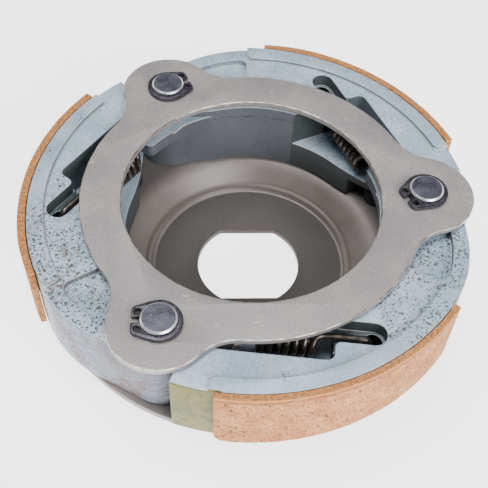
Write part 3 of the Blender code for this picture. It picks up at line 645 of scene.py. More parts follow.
def pin_profile():
    """Rivet head, spigot, bearing, neck, circlip groove and chamfered head."""
    groove_r = PIN_NECK_R - GROOVE_DEPTH
    groove_low = CIRCLIP_Z - SEAT_GAP / 2
    groove_high = CIRCLIP_Z + CIRCLIP_THICKNESS + SEAT_GAP / 2
    head_top = FLANGE_UNDERSIDE - SEAT_GAP
    head_bottom = head_top - RIVET_HEAD_HEIGHT
    return rounded_profile([
        (0, head_bottom, 0),
        (RIVET_HEAD_R, head_bottom, PIN_CHAMFER),
        (RIVET_HEAD_R, head_top, 0),
        (RIVET_R, head_top, 0),
        (RIVET_R, FLANGE_TOP + SEAT_GAP, 0),
        (PIN_BEARING_R, FLANGE_TOP + SEAT_GAP, 0),
        (PIN_BEARING_R, SHOE_TOP, 0),
        (PIN_NECK_R, SHOE_TOP, 0),
        (PIN_NECK_R, groove_low, 0),
        (groove_r, groove_low, 0),
        (groove_r, groove_high, 0),
        (PIN_NECK_R, groove_high, 0),
        (PIN_NECK_R, PIN_TOP - PIN_CHAMFER, PIN_EDGE),
        (PIN_NECK_R - PIN_CHAMFER, PIN_TOP, PIN_EDGE),
        (0, PIN_TOP, 0),
    ], PIN_FILLET_STEPS)


def make_pin(number, material, edge_material):
    pin = turned(f"pivot_pin_{number}_dressed", pin_profile(), PIN_STEPS)
    face_and_edge(pin, material, edge_material)
    inner_r = PIN_NECK_R - PIN_CHAMFER
    for face in pin.data.polygons:
        middle = face.center
        on_chamfer = middle.z > PIN_TOP - PIN_CHAMFER - PIN_EDGE and middle.xy.length > inner_r - PIN_EDGE
        face.material_index = int(on_chamfer)
    shade(pin, TURNED_SHARP_DEG)
    pin.data.transform(Matrix.Translation(pin_centre(number).to_3d()))
    dress(pin, material, "carrier", [f"pivot_pin_{number}"])


def lug_hole(side):
    """Centre of the hole in one of a circlip's lugs, before the circlip is turned."""
    return polar(CIRCLIP_OUTER_R - LUG_HOLE_OUTSET, side * LUG_HOLE_DEG)


def lug_hole_centre(number, side):
    turn = Matrix.Rotation(math.radians(CIRCLIP_TURN_DEG[number - 1]), 2)
    return pin_centre(number) + turn @ lug_hole(side)


def make_circlip(number, material, edge_material):
    """An open ring whose ends widen into two drilled lugs."""
    below, above = -CUT_MARGIN, CIRCLIP_THICKNESS + CUT_MARGIN
    points = arc(AXIS, CIRCLIP_OUTER_R, 0, 360, BOSS_STEP_DEG)[:-1]
    for side in (-1, 1):
        corner = polar(CIRCLIP_OUTER_R, side * LUG_CORNER_DEG)
        points += arc(corner, LUG_CORNER_R, 0, 360, BOSS_STEP_DEG * 2)[:-1]
    outline = [points[i] for i in convex_hull_2d(points)]
    clip = prism(f"circlip_{number}_dressed", outline, 0, CIRCLIP_THICKNESS)
    cut(clip, disc("inside", AXIS, CIRCLIP_INNER_R, below, above))
    for side in (-1, 1):
        cut(clip, disc("lug_hole", lug_hole(side), LUG_HOLE_R, below, above, 2 * HOLE_STEP_DEG))
    reach = 2 * CIRCLIP_OUTER_R
    corners = ((0, -1), (reach, -1), (reach, 1), (0, 1))
    mouth = [Vector((along, side * CIRCLIP_GAP_HALF)) for along, side in corners]
    cut(clip, prism("mouth", mouth, below, above))
    face_and_edge(clip, material, edge_material)
    round_edges(clip, CLIP_EDGE, CLIP_ROUND_OVER_DEG, CLIP_EDGE_SEGMENTS, material_index=1)
    shade(clip)
    place = pin_centre(number).to_3d() + Vector((0, 0, CIRCLIP_Z))
    clip.data.transform(Matrix.Translation(place) @ about_z(CIRCLIP_TURN_DEG[number - 1]))
    dress(clip, material, "carrier", [f"circlip_{number}"])


# Shoe casting

def shoulder_centre():
    """Centre of the arc that blends the shoe's straight pivot side into its outer face."""
    x = PIN_CIRCLE_R + BOSS_R - SHOULDER_R
    rise = (SHOE_OUTER_R - SHOULDER_R) ** 2 - (x - DRUM_CENTRE.x) ** 2
    return Vector((x, DRUM_CENTRE.y - math.sqrt(rise)))


def outer_edge(start_deg, end_deg):
    """The shoe's outer edge from a ray near the toe to one near the pivot."""
    centre = shoulder_centre()
    tangent = DRUM_CENTRE + polar(SHOE_OUTER_R, direction_deg(DRUM_CENTRE, centre))
    tangent_ray_deg = direction_deg(AXIS, tangent)
    edge = []
    if start_deg < tangent_ray_deg:
        edge = arc_between_rays(DRUM_CENTRE, SHOE_OUTER_R, start_deg, min(end_deg, tangent_ray_deg))
    if end_deg > tangent_ray_deg:
        shoulder = arc_between_rays(centre, SHOULDER_R, max(start_deg, tangent_ray_deg), end_deg)
        edge = edge[:-1] + shoulder
    return edge


def eased(start, bend, end):
    """Inner points of a curve from start to end that leaves and arrives in line with the bend."""
    shares = [i / EASE_STEPS for i in range(1, EASE_STEPS)]
    return [start * (1 - t) ** 2 + bend * 2 * t * (1 - t) + end * t ** 2 for t in shares]


def shoe_outline():
    """The casting's plan: outer face, boss, inner wall, shelf edge and clearance round the next boss.

    The rim's ends fall in the middle of a facet of the outer face, clear of its corners.
    """
    clearance_r = BOSS_R + BOSS_CLEARANCE
    side_start = shoulder_centre() + polar(SHOULDER_R, 0)
    toe_deg = direction_deg(NEXT_PIN, ray_meets_circle(TOE_END_DEG, NEXT_PIN, clearance_r))
    wall_end = polar(SHOE_INNER_R, WALL_END_DEG)
    shelf_root = NEXT_PIN + polar(clearance_r, SHELF_ROOT_DEG)
    stops = [TOE_END_DEG]
    for ray_deg in (RIM_END_DEG, RIM_START_DEG):
        stops += [ray_deg - RIM_FACET_HALF_DEG, ray_deg + RIM_FACET_HALF_DEG]
    stops.append(direction_deg(AXIS, side_start))
    outline = []
    for start_deg, end_deg in zip(stops, stops[1:]):
        outline = outline[:-1] + outer_edge(start_deg, end_deg)
    outline += arc(PIN, BOSS_R, 0, BOSS_WRAP_DEG, BOSS_STEP_DEG)
    outline += arc(AXIS, SHOE_INNER_R, WALL_START_DEG, WALL_END_DEG)
    outline += eased(wall_end, wall_end + polar(WALL_EASE, WALL_END_DEG - 90), shelf_root)
    outline += arc(NEXT_PIN, clearance_r, SHELF_ROOT_DEG, toe_deg, CLEARANCE_STEP_DEG)
    return outline


def arm_outline():
    """The tail arm's plan, from inside the boss to just past the neighbour's spring anchor."""
    anchor_r = PIN_CIRCLE_R - FAR_ANCHOR_INSET
    tip_deg = FAR_ANCHOR_DEG + STATION_PITCH + math.degrees(ARM_TIP_LENGTH / anchor_r)
    inner_r = SHOE_INNER_R + ARM_INSET
    outer_r = anchor_r + ARM_OUTER_WIDTH
    inner_corner_deg = tip_deg - math.degrees(ARM_CORNER_R / inner_r)
    outer_corner_deg = tip_deg - math.degrees(ARM_CORNER_R / outer_r)
    inner_corner = polar(inner_r + ARM_CORNER_R, inner_corner_deg)
    outer_corner = polar(outer_r - ARM_CORNER_R, outer_corner_deg)
    outline = arc(AXIS, outer_r, ARM_ROOT_DEG, outer_corner_deg)[::-1]
    outline += arc(AXIS, inner_r, WALL_START_DEG - ARM_LAP_DEG, inner_corner_deg, ARM_STEP_DEG)
    outline += arc(inner_corner, ARM_CORNER_R, inner_corner_deg + 180, tip_deg + 90, CORNER_STEP_DEG)[1:]
    outline += arc(outer_corner, ARM_CORNER_R, tip_deg + 90, outer_corner_deg, CORNER_STEP_DEG)[:-1]
    return outline


def spring_pocket_outline():
    """Open at the toe side and inwards; its outer end corner is rounded."""
    inner = -(COIL_R + SHOE_INSET)
    corner = spring_point(POCKET_END - POCKET_CORNER_R, POCKET_OUTER - POCKET_CORNER_R)
    outline = [spring_point(-CUT_REACH, POCKET_OUTER)]
    outline += arc(corner, POCKET_CORNER_R, SPRING_DEG - 90, SPRING_DEG, CORNER_STEP_DEG)
    outline += [spring_point(POCKET_END, inner), spring_point(-CUT_REACH, inner)]
    return outline


def slot_round_centre():
    return spring_point(SPRING_LENGTH + SLOT_END_OUTSET, 0)


def hook_slot_outline():
    """A slot along the spring, from a flared mouth in the pocket's end wall to a round end past the hook."""
    flare_across = SLOT_HALF_WIDTH + SLOT_CORNER_R
    outer_flare = spring_point(POCKET_END + SLOT_CORNER_R, flare_across)
    inner_flare = spring_point(POCKET_END + SLOT_CORNER_R, -flare_across)
    outline = [spring_point(POCKET_END - JOIN_OVERLAP, flare_across)]
    outline += arc(outer_flare, SLOT_CORNER_R, SPRING_DEG + 180, SPRING_DEG + 90, CORNER_STEP_DEG)
    outline += arc(slot_round_centre(), SLOT_HALF_WIDTH, SPRING_DEG - 90, SPRING_DEG + 90, HOLE_STEP_DEG)
    outline += arc(inner_flare, SLOT_CORNER_R, SPRING_DEG - 90, SPRING_DEG - 180, CORNER_STEP_DEG)
    outline.append(spring_point(POCKET_END - JOIN_OVERLAP, -flare_across))
    return outline


def around_rim_outline():
    """All of the shoe's plan but the raised rim along its outer edge; the rim's inner corners are rounded."""
    inner_r = PIN_CIRCLE_R + RIM_OUTSET
    corner_r = inner_r + RIM_CORNER_R
    corner_turn = math.degrees(math.asin(RIM_CORNER_R / corner_r))
    start_deg = RIM_START_DEG - corner_turn
    end_deg = RIM_END_DEG + corner_turn
    start_corner = polar(corner_r, start_deg)
    end_corner = polar(corner_r, end_deg)
    outside_r = LINING_OUTER_R + CUT_REACH
    outline = [polar(outside_r, RIM_START_DEG)]
    outline += arc(start_corner, RIM_CORNER_R, RIM_START_DEG + 90, start_deg + 180, CORNER_STEP_DEG)
    outline += arc(AXIS, inner_r, start_deg, end_deg)[1:-1]
    outline += arc(end_corner, RIM_CORNER_R, end_deg + 180, RIM_END_DEG + 270, CORNER_STEP_DEG)
    outline += arc(AXIS, outside_r, RIM_END_DEG, RIM_START_DEG - 360)[:-1]
    return outline


def recess_outline():
    """Shallow recess in the top between the pivot boss and the start of the rim."""
    centre = shoulder_centre()
    wall_r = SHOULDER_R - RECESS_WALL
    inner_r = PIN_CIRCLE_R - RECESS_INSET
    aside = polar(RECESS_CORNER_R, RECESS_END_DEG + 90)
    corner = ray_meets_circle(RECESS_END_DEG, centre - aside, wall_r - RECESS_CORNER_R) + aside
    corner_deg = direction_deg(centre, corner)
    outer_x = centre.x + wall_r
    outline = [polar(inner_r, RECESS_START_DEG), polar(inner_r, RECESS_END_DEG)]
    outline += arc(corner, RECESS_CORNER_R, RECESS_END_DEG - 90, corner_deg, CORNER_STEP_DEG)
    outline += arc(centre, wall_r, corner_deg, 0)[1:]
    outline.append(Vector((outer_x, outer_x * math.tan(math.radians(RECESS_START_DEG)))))
    return outline


def damper_pocket_outline():
    """Pocket under the toe that rests on the rubber at its outer side and is open towards the clutch axis."""
    centre = polar(PIN_CIRCLE_R - STUD_INSET, STUD_DEG)
    outward = polar(1.0, STUD_DEG)
    sideways = polar(1.0, STUD_DEG + 90)
    reach = RUBBER_R + SEAT_GAP
    inward = outward * -CUT_REACH
    far_side = sideways * -(RUBBER_R + STUD_SWING_ROOM)
    outline = [centre + far_side + outward * reach]
    outline += arc(centre, reach, STUD_DEG, STUD_DEG + 90, HOLE_STEP_DEG)
    outline += [centre + sideways * reach + inward, centre + far_side + inward]
    return outline


def wall_ramp():
    """The inner wall carried on over the arm's root, with its end sloping down to the arm."""
    start = WALL_START_DEG - ARM_LAP_DEG
    outer_r = SHOE_INNER_R + BOSS_R / 2

    def sector(end_deg):
        step = (end_deg - WALL_START_DEG) / RAMP_STEPS
        rays = [WALL_START_DEG + step * i for i in range(RAMP_STEPS + 1)]
        outline = [polar(SHOE_INNER_R, ray_deg) for ray_deg in rays]
        outline += [polar(outer_r, ray_deg) for ray_deg in reversed(rays)]
        return outline + [polar(outer_r, start), polar(SHOE_INNER_R + BOSS_R / 4, start)]

    low = sector(WALL_TOP_END_DEG + WALL_RAMP_DEG)
    return loft("ramp", low, ARM_HIGH - JOIN_OVERLAP, sector(WALL_TOP_END_DEG), SHOE_TOP - RECESS_DEPTH)


def hook_hole():
    """The slot in the tail arm for the neighbour's spring, as long as the shoe's swing asks for."""
    at_rest = Matrix.Rotation(math.radians(STATION_PITCH), 2) @ FAR_ANCHOR
    swung = PIN + Matrix.Rotation(math.radians(-SWING_DEG), 2) @ (at_rest - PIN)
    way_deg = direction_deg(at_rest, swung)
    outline = arc(swung, WIRE_R + HOOK_GAP, way_deg - 90, way_deg + 90, HOLE_STEP_DEG)
    outline += arc(at_rest, WIRE_R + HOOK_GAP, way_deg + 90, way_deg + 270, HOLE_STEP_DEG)
    return prism("hook_hole", outline, ARM_LOW - CUT_MARGIN, ARM_HIGH + CUT_MARGIN)


def shoe_mesh():
    shoe = prism("shoe", shoe_outline(), SHOE_BOTTOM, RIM_TOP)
    above = RIM_TOP + CUT_MARGIN
    cut(shoe, prism("around_rim", around_rim_outline(), SHOE_TOP, above))
    cut(shoe, prism("spring_pocket", spring_pocket_outline(), LEDGE_Z, above))
    cut(shoe, prism("hook_slot", hook_slot_outline(), SLOT_FLOOR_Z, above))
    cut(shoe, disc("hook_well", slot_round_centre(), HOOK_WELL_R, LEDGE_Z, SHOE_TOP))
    cut(shoe, prism("damper_pocket", damper_pocket_outline(), SHOE_BOTTOM - CUT_MARGIN, SHELF_UNDERSIDE))
    recess = prism("recess", recess_outline(), SHOE_TOP - RECESS_DEPTH, above)
    cut(recess, disc("boss_wall", PIN, BEARING_BORE_R + RECESS_BOSS_WALL, SHOE_BOTTOM, above + CUT_MARGIN))
    cut(shoe, recess)
    join(shoe, prism("arm", arm_outline(), ARM_LOW, ARM_HIGH))
    join(shoe, wall_ramp())
    cut(shoe, hook_hole())
    cut(shoe, disc("bore", PIN, BEARING_BORE_R, SHOE_BOTTOM - CUT_MARGIN, above))
    round_edges(shoe, CAST_EDGE)
    shade(shoe)
    mesh = shoe.data
    bpy.data.objects.remove(shoe)
    mesh.materials.clear()
    return mesh


def make_shoe(number, shape, material):
    shoe = at_station("shoe", shape.copy(), number)
    dress(shoe, material, f"swing_{number}", [f"shoe_{number}"])


# Linings

def lining_section():
    """Shares of a lining's thickness and height, up its worn face and down its bonded one."""
    along = [i / LINING_HIGH_STEPS for i in range(LINING_HIGH_STEPS + 1)]
    across = [i / LINING_DEEP_STEPS for i in range(1, LINING_DEEP_STEPS)]
    up = [(1.0, rise) for rise in along] + [(1 - depth, 1.0) for depth in across]
    return up + [(0.0, 1 - rise) for rise in along] + [(depth, 0.0) for depth in across]


def lining_rings(wear):
    """A curved pad: crumbled long edges, a worn lower corner at the toe, thinner near the pivot."""
    start, end = [
        direction_deg(DRUM_CENTRE, ray_meets_circle(ray_deg, DRUM_CENTRE, LINING_OUTER_R))
        for ray_deg in (LINING_END_DEG, LINING_START_DEG)
    ]
    length = math.radians(end - start) * LINING_OUTER_R
    section = lining_section()
    rings = []
    for i in range(LINING_LONG_STEPS + 1):
        share = i / LINING_LONG_STEPS
        degrees = start + (end - start) * share
        worn = max(0.0, LINING_WORN_CORNER_R - length * share)
        lift = LINING_WORN_CORNER_R - math.sqrt(LINING_WORN_CORNER_R ** 2 - worn ** 2)
        taper = LINING_TAPER * max(0.0, 1 - length * (1 - share) / LINING_TAPER_LENGTH)
        thickness = LINING_THICKNESS - max(wear, taper)
        low = SHOE_BOTTOM + lift
        ring = []
        for depth, rise in section:
            z = low + (RIM_TOP - low) * rise
            to_edge = min(rise, 1 - rise) * (RIM_TOP - SHOE_BOTTOM)
            rough = noise.noise(Vector((degrees * ROUGH_PER_DEG, z / MM * ROUGH_PER_MM, ROUGH_LAYER)))
            crumb_place = Vector((degrees * CRUMB_PER_DEG, z / MM * CRUMB_PER_MM, depth * CRUMB_PER_DEPTH))
            crumb = max(0.0, noise.noise(crumb_place))
            edge = max(0.0, 1 - to_edge / LINING_CRUMB_WIDTH) * depth
            crumbled = edge * LINING_CRUMB_DEPTH * (LINING_CRUMB_LEAST + crumb)
            roughened = depth * LINING_ROUGHNESS * (0.5 + 0.5 * rough)
            inwards = {0.0: 1, 1.0: -1}.get(rise, 0)
            ragged = depth * LINING_ROUGHNESS * (LINING_RAGGED_LEAST + LINING_RAGGED_CRUMB * crumb)
            radius = LINING_OUTER_R - LINING_THICKNESS + thickness * depth - (crumbled + roughened)
            plan = DRUM_CENTRE + polar(radius, degrees)
            ring.append((plan.x, plan.y, z + inwards * ragged))
        rings.append(ring)
    return rings


def make_lining(number, material):
    lining = at_station("lining", skin("lining", lining_rings(LINING_WEAR[number - 1])), number)
    shade(lining, SKIN_SHARP_DEG)
    dress(lining, material, f"swing_{number}", [f"lining_{number}"])


# Springs

def spring_place(along, across, height):
    plan = spring_point(along, across)
    return Vector((plan.x, plan.y, height))


def bent_end(anchor_along, leg_z, side):
    """The wire from the end of a leg, round a bend and down its hole."""
    points = []
    for i in range(BEND_STEPS + 1):
        lean = math.radians(90 * i / BEND_STEPS)
        along = anchor_along - side * BEND_R * (1 - math.sin(lean))
        points.append(spring_place(along, 0, leg_z - BEND_R * (1 - math.cos(lean))))
    points.append(spring_place(anchor_along, 0, leg_z - HOOK_DROP))
    return points


def curve_between(start, start_way, end, end_way):
    """Inner points of a smooth curve that leaves one point and reaches another along given ways."""
    handle = (end - start).length * LEAD_HANDLE_SHARE
    first = start + start_way.normalized() * handle
    second = end - end_way.normalized() * handle
    points = []
    for i in range(1, LEAD_STEPS):
        t = i / LEAD_STEPS
        u = 1 - t
        points.append(start * u ** 3 + first * 3 * u ** 2 * t + second * 3 * u * t ** 2 + end * t ** 3)
    return points


def spring_path():
    """Centre line: bent far end, close-wound coil, long near leg and its bent end."""
    coil = []
    turns_deg = COIL_TURNS * 360 - 2 * COIL_LEAD_DEG
    steps = math.ceil(turns_deg / 360 * WIRE_STEPS_PER_TURN)
    for i in range(steps + 1):
        turn = COIL_LEAD_DEG + turns_deg * i / steps
        angle = math.radians(90 + turn)
        along = COIL_START + COIL_LENGTH * turn / (COIL_TURNS * 360)
        height = SPRING_Z + COIL_MEAN_R * math.sin(angle)
        coil.append(spring_place(along, COIL_MEAN_R * math.cos(angle), height))
    way = ALONG_SPRING.to_3d()
    far_end = bent_end(0, FAR_LEG_Z, -1)[::-1]
    near_end = bent_end(SPRING_LENGTH, NEAR_LEG_Z, 1)
    near_leg = spring_place(COIL_START + COIL_LENGTH + LEAD_LENGTH, 0, NEAR_LEG_Z)
    far_lead = curve_between(far_end[-1], way, coil[0], coil[1] - coil[0])
    near_lead = curve_between(coil[-1], coil[-1] - coil[-2], near_leg, way)
    return far_end + far_lead + coil + near_lead + [near_leg] + near_end


def wire_rings(path):
    """A round wire along a path, narrowed at its cut ends."""
    way = (path[1] - path[0]).normalized()
    side = way.orthogonal().normalized()
    rings = []
    for i, point in enumerate(path):
        before = path[max(0, i - 1)]
        after = path[min(len(path) - 1, i + 1)]
        turn = way.rotation_difference((after - before).normalized())
        way = (after - before).normalized()
        side = (turn @ side).normalized()
        other = way.cross(side)
        radius = WIRE_R * (WIRE_END_SHARE if i in (0, len(path) - 1) else 1.0)
        ring = []
        for j in range(WIRE_SIDES):
            angle = math.tau * j / WIRE_SIDES
            ring.append(point + (side * math.cos(angle) + other * math.sin(angle)) * radius)
        rings.append(ring)
    return rings


def make_spring(number, shape, material):
    """The near end hooks into its own shoe and the far end sits by the next shoe's tail; the whole spring is
    turned to its station and tied to no body.
    """
    spring = at_station("spring", shape.copy(), number)
    shade(spring, SKIN_SHARP_DEG)
    spring.data.materials.append(material)
    turn = about_z(station_deg(number))
    start = turn @ spring_place(COIL_START + COIL_LENGTH, 0, SPRING_Z)
    end = turn @ spring_place(COIL_START, 0, SPRING_Z)
    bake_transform(spring)
    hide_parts(f"spring_{number}")


# Damper studs and rubbers

def stud_profile():
    rubber_low = FLANGE_TOP + SEAT_GAP
    head_high = SHELF_UNDERSIDE - SEAT_GAP
    head_low = head_high - STUD_HEAD_HEIGHT
    neck_r = STUD_R - SEAT_GAP
    tail_high = FLANGE_UNDERSIDE - SEAT_GAP
    tail_low = tail_high - STUD_HEAD_HEIGHT
    return rounded_profile([
        (0, tail_low, 0),
        (STUD_HEAD_R, tail_low, PIN_CHAMFER),
        (STUD_HEAD_R, tail_high, 0),
        (neck_r, tail_high, 0),
        (neck_r, rubber_low, 0),
        (STUD_R, rubber_low, 0),
        (STUD_R, head_low, 0),
        (STUD_HEAD_R, head_low, 0),
        (STUD_HEAD_R, head_high, PIN_CHAMFER),
        (0, head_high, 0),
    ], PIN_FILLET_STEPS)


def rubber_profile():
    low = FLANGE_TOP + SEAT_GAP
    high = SHELF_UNDERSIDE - 2 * SEAT_GAP - STUD_HEAD_HEIGHT
    inner_r = STUD_R + SEAT_GAP
    return rounded_profile([
        (inner_r, low, 0),
        (RUBBER_R, low, RUBBER_EDGE),
        (RUBBER_R, high, RUBBER_EDGE),
        (inner_r, high, 0),
    ], RUBBER_FILLET_STEPS)


def make_damper(number, name, profile, material):
    damper = turned(f"{name}_{number}_dressed", profile, STUD_STEPS)
    shade(damper, TURNED_SHARP_DEG)
    damper.data.transform(Matrix.Translation(stud_centre(number).to_3d()))
    dress(damper, material, "carrier", [f"{name}_{number}"])


# Materials

def linear(red, green, blue):
    """A display colour, 0 to 255, as the linear light that shaders take."""
    def one(value):
        share = value / 255
        return share / 12.92 if share <= 0.04045 else ((share + 0.055) / 1.055) ** 2.4
    return one(red), one(green), one(blue)


class Field:
    """A value that varies from place to place. Its arithmetic adds the nodes that work it out."""

    def __init__(self, graph, socket):
        self.graph = graph
        self.socket = socket

    def __add__(self, other):
        return self.graph.math("ADD", self, other)

    def __sub__(self, other):
        return self.graph.math("SUBTRACT", self, other)

    def __rsub__(self, other):
        return self.graph.math("SUBTRACT", other, self)

    def __mul__(self, other):
        return self.graph.math("MULTIPLY", self, other)

    def __abs__(self):
        return self.graph.math("ABSOLUTE", self)

    def root(self):
        return self.graph.math("SQRT", self)

    def larger(self, other):
        return self.graph.math("MAXIMUM", self, other)

    def band(self, low, high, to_low=0.0, to_high=1.0):
        """The value spread smoothly from one range to another, and held at its ends."""
        spread = {"Value": self, "From Min": low, "From Max": high, "To Min": to_low, "To Max": to_high}
        return self.graph.value("MapRange", "Result", spread, interpolation_type="SMOOTHSTEP")

    def fall(self, low, high):
        """One below a range, nought above it."""
        return self.band(low, high, 1.0, 0.0)

    def parts(self):
        """The three parts of a place, a direction or a colour."""
        node = self.graph.node("SeparateXYZ", {"Vector": self})
        return [Field(self.graph, output) for output in node.outputs]


class Graph:
    """Nodes added to one node tree."""

    def __init__(self, tree):
        self.tree = tree

    def feed(self, node, inputs):
        """Gives inputs of a node, by name or number, a field or a constant each."""
        for name, value in inputs.items():
            socket = node.inputs[name]
            if isinstance(value, Field):
                self.tree.links.new(value.socket, socket)
            else:
                socket.default_value = (*value, 1.0) if socket.type == "RGBA" else value

    def node(self, kind, inputs, **settings):
        node = self.tree.nodes.new("ShaderNode" + kind)
        for name, setting in settings.items():
            setattr(node, name, setting)
        self.feed(node, inputs)
        return node

    def value(self, kind, output, inputs, **settings):
        return Field(self, self.node(kind, inputs, **settings).outputs[output])

    def math(self, operation, a, b=0.0):
        return self.value("Math", "Value", {0: a, 1: b}, operation=operation)

    def mix(self, share, a, b):
        return self.value("Mix", "Result", {"Factor": share, "A": a, "B": b}, data_type="RGBA")


class Surface(Graph):
    """One procedural material in the clutch frame's own coordinates, tinted layer over layer."""

    def __init__(self, name, roughness, metallic, specular=0.5):
        self.material = bpy.data.materials.new(name)
        self.material.use_nodes = True
        super().__init__(self.material.node_tree)
        self.shader = self.tree.nodes["Principled BSDF"]
        self.feed(self.shader, {"Roughness": roughness, "Metallic": metallic, "Specular IOR Level": specular})
        self.place = self.value("TexCoord", "Object", {})
        self.colour = None

    def base(self, share, dark, light):
        self.colour = self.mix(share, linear(*dark), linear(*light))

    def tint(self, share, display_colour):
        self.colour = self.mix(share, self.colour, linear(*display_colour))

    def mapped(self, scale, turn_deg=0.0):
        inputs = {"Vector": self.place, "Rotation": (0, 0, math.radians(turn_deg)), "Scale": scale}
        return self.value("Mapping", "Vector", inputs)

    def noise(self, size, detail=3.0, place=None, roughness=0.55, distortion=0.0):
        """Noise whose blotches are about one size across, in metres, from 0 to 1."""
        inputs = {"Vector": place or self.place, "Scale": 1.0 / size, "Detail": detail}
        inputs.update({"Roughness": roughness, "Distortion": distortion})
        return self.value("TexNoise", "Fac", inputs)

    def stretched(self, sizes, detail, turn_deg=0.0, roughness=0.55):
        """Noise whose blotches have a size of their own along each axis."""
        return self.noise(1.0, detail, self.mapped([1 / size for size in sizes], turn_deg), roughness)

    def scratches(self, turn_deg, length, width, share):
        """Thin straight marks in one direction on a share of the surface."""
        marks = self.stretched((length, width, length), 1.0, turn_deg)
        return marks.band(1 - share, 1 - share + SCRATCH_SOFTNESS)

    def near(self, point, reach):
        """One at a point and nought beyond a reach from it."""
        distance = self.value("VectorMath", "Value", {0: self.place, 1: point}, operation="DISTANCE")
        return distance.fall(0.0, reach)

    def rise(self):
        """How far up the surface faces: one on level upper faces, nought on walls."""
        return self.value("NewGeometry", "Normal", {}).parts()[2]

    def facing_up(self):
        return self.rise().band(0.7, 0.95)

    def on_edges(self):
        """One on rounded upper edges, nought on walls and on level faces."""
        rise = self.rise()
        return rise.band(0.15, 0.35) * rise.fall(0.75, 0.93)

    def specks(self, size, share, radius, softness):
        """Scattered round dots: about a share of the cells of one size holds a dot of a radius."""
        cells = self.node("TexVoronoi", {"Vector": self.place, "Scale": 1.0 / size})
        chance = Field(self, cells.outputs["Color"]).parts()[0]
        distance = Field(self, cells.outputs["Distance"])
        reach = radius / size
        chosen = chance.band(1 - share, 1 - share + PICK_SOFTNESS)
        return distance.fall(reach * (1 - softness), reach) * chosen

    def bump(self, height, depth, strength):
        return self.value("Bump", "Normal", {"Strength": strength, "Distance": depth, "Height": height})

    def finish(self, roughness=None, normal=None):
        layers = {"Base Color": self.colour, "Roughness": roughness, "Normal": normal}
        self.feed(self.shader, {name: layer for name, layer in layers.items() if layer is not None})
        return self.material


def plate_steel():
    """The side plate's face: rolled steel with fine scratches, scuffs and dark dots."""
    s = Surface("plate_steel", 0.55, 0.3)
    clouds = s.noise(14 * MM, 4.0)
    s.base(clouds.band(0.35, 0.7), (162, 156, 157), (180, 174, 173))
    grain = s.noise(0.4 * MM, 4.0, roughness=0.7)
    s.tint(grain.band(0.4, 0.7, 0.0, 0.6), (124, 117, 116))
    fine = s.scratches(24, 9 * MM, 0.11 * MM, 0.30).larger(s.scratches(-52, 7 * MM, 0.1 * MM, 0.29))
    s.tint(fine * 0.4, (206, 200, 194))
    rubbed = s.noise(6 * MM, 3.0).band(0.6, 0.7)
    s.tint(rubbed * s.scratches(61, 2.6 * MM, 0.3 * MM, 0.42) * 0.8, (226, 220, 212))
    dots = s.specks(3.2 * MM, 0.22, 0.24 * MM, 0.6).larger(s.specks(1.5 * MM, 0.08, 0.14 * MM, 0.6))
    s.tint(dots * 0.75, (62, 54, 52))
    # the plate is painted darker round the lobe at pin 3
    s.tint(s.near(DARKER_LOBE, DARKER_REACH) * 0.45, (128, 123, 124))
    # painted shadow under each circlip lug hole
    for number in STATIONS:
        for side in (-1, 1):
            hole = lug_hole_centre(number, side)
            s.tint(s.near((hole.x, hole.y, SIDE_TOP), LUG_SHADOW_SHARE * LUG_HOLE_R), (30, 28, 30))
    return s.finish(clouds.band(*NOISE_SPAN, 0.5, 0.62), s.bump(grain - fine * 0.5, 0.04 * MM, 0.6))


def edge_wear_and_light(name, low, high):
    """Colour for rounded edges, broken by stretches of the low colour: a painted highlight over worn metal on
    the pins and side plate, a painted dark outline on the circlips.
    """
    s = Surface(name, 0.32, 0.85)
    s.base(s.noise(3 * MM, 4.0).band(0.38, 0.62), low, high)
    return s.finish(s.noise(0.5 * MM).band(*NOISE_SPAN, 0.28, 0.45))


def hollows(s, number, z):
    """One in the spring pocket, and one in the deeper hook slot, measured along the spring."""
    x, y, _ = s.mapped((1, 1, 1), -station_deg(number) - SPRING_DEG).parts()
    along = x - FAR_ANCHOR.dot(ALONG_SPRING)
    across = y * -1.0 - FAR_ANCHOR.dot(ACROSS_SPRING)
    pocket = along.fall(POCKET_END + 0.1 * MM, POCKET_END + 0.3 * MM)
    pocket = pocket * across.fall(POCKET_OUTER + 0.1 * MM, POCKET_OUTER + 0.3 * MM)
    slot = along.band(POCKET_END - 0.3 * MM, POCKET_END)
    slot = slot * abs(across).fall(SLOT_HALF_WIDTH + 0.2 * MM, SLOT_HALF_WIDTH + 0.5 * MM)
    below_top = z.fall(SHOE_TOP - 0.6 * MM, SHOE_TOP - 0.2 * MM)
    return pocket * below_top, slot * below_top


def rust_bands(s):
    """Rough level streaks, brown in places, that weathering leaves on a cast wall."""
    streaks = s.stretched((3 * MM, 3 * MM, 0.7 * MM), 6.0, roughness=0.8)
    patches = s.noise(8 * MM, 3.0).band(0.46, 0.58)
    return streaks.band(0.42, 0.64), patches * s.noise(0.9 * MM, 5.0, roughness=0.8).band(0.42, 0.58)


def tint_walls(s, number, wall, axis_r, z):
    """Paints shade on the casting's inner wall, partly a darker cast tone, adds dirt on its parting line, and
    paints shade in its hollows, near black down the hook well.
    """
    inner_wall = wall * axis_r.fall(44 * MM, 50 * MM)
    # painted shade on the inner wall, partly a darker cast tone
    s.tint(inner_wall * 0.9, (84, 83, 88))
    waver = (s.noise(4 * MM, 3.0) - 0.5) * (1.5 * MM)
    parting = abs(waver + (z - PARTING_Z))
    dirt = inner_wall * parting.fall(0.1 * MM, 0.6 * MM) * s.noise(2 * MM, 6.0).band(0.4, 0.65)
    s.tint(dirt * 0.6, (58, 48, 38))
    pocket, slot = hollows(s, number, z)
    # painted shade on the spring pocket's walls and through the hook slot, near black down the hook well
    s.tint(pocket * wall * 0.75, (58, 64, 64))
    s.tint(slot * 0.85, (44, 54, 52))
    s.tint(slot * z.fall(SLOT_FLOOR_Z - 0.5 * MM, SLOT_FLOOR_Z - 0.2 * MM) * 0.95, (8, 9, 9))


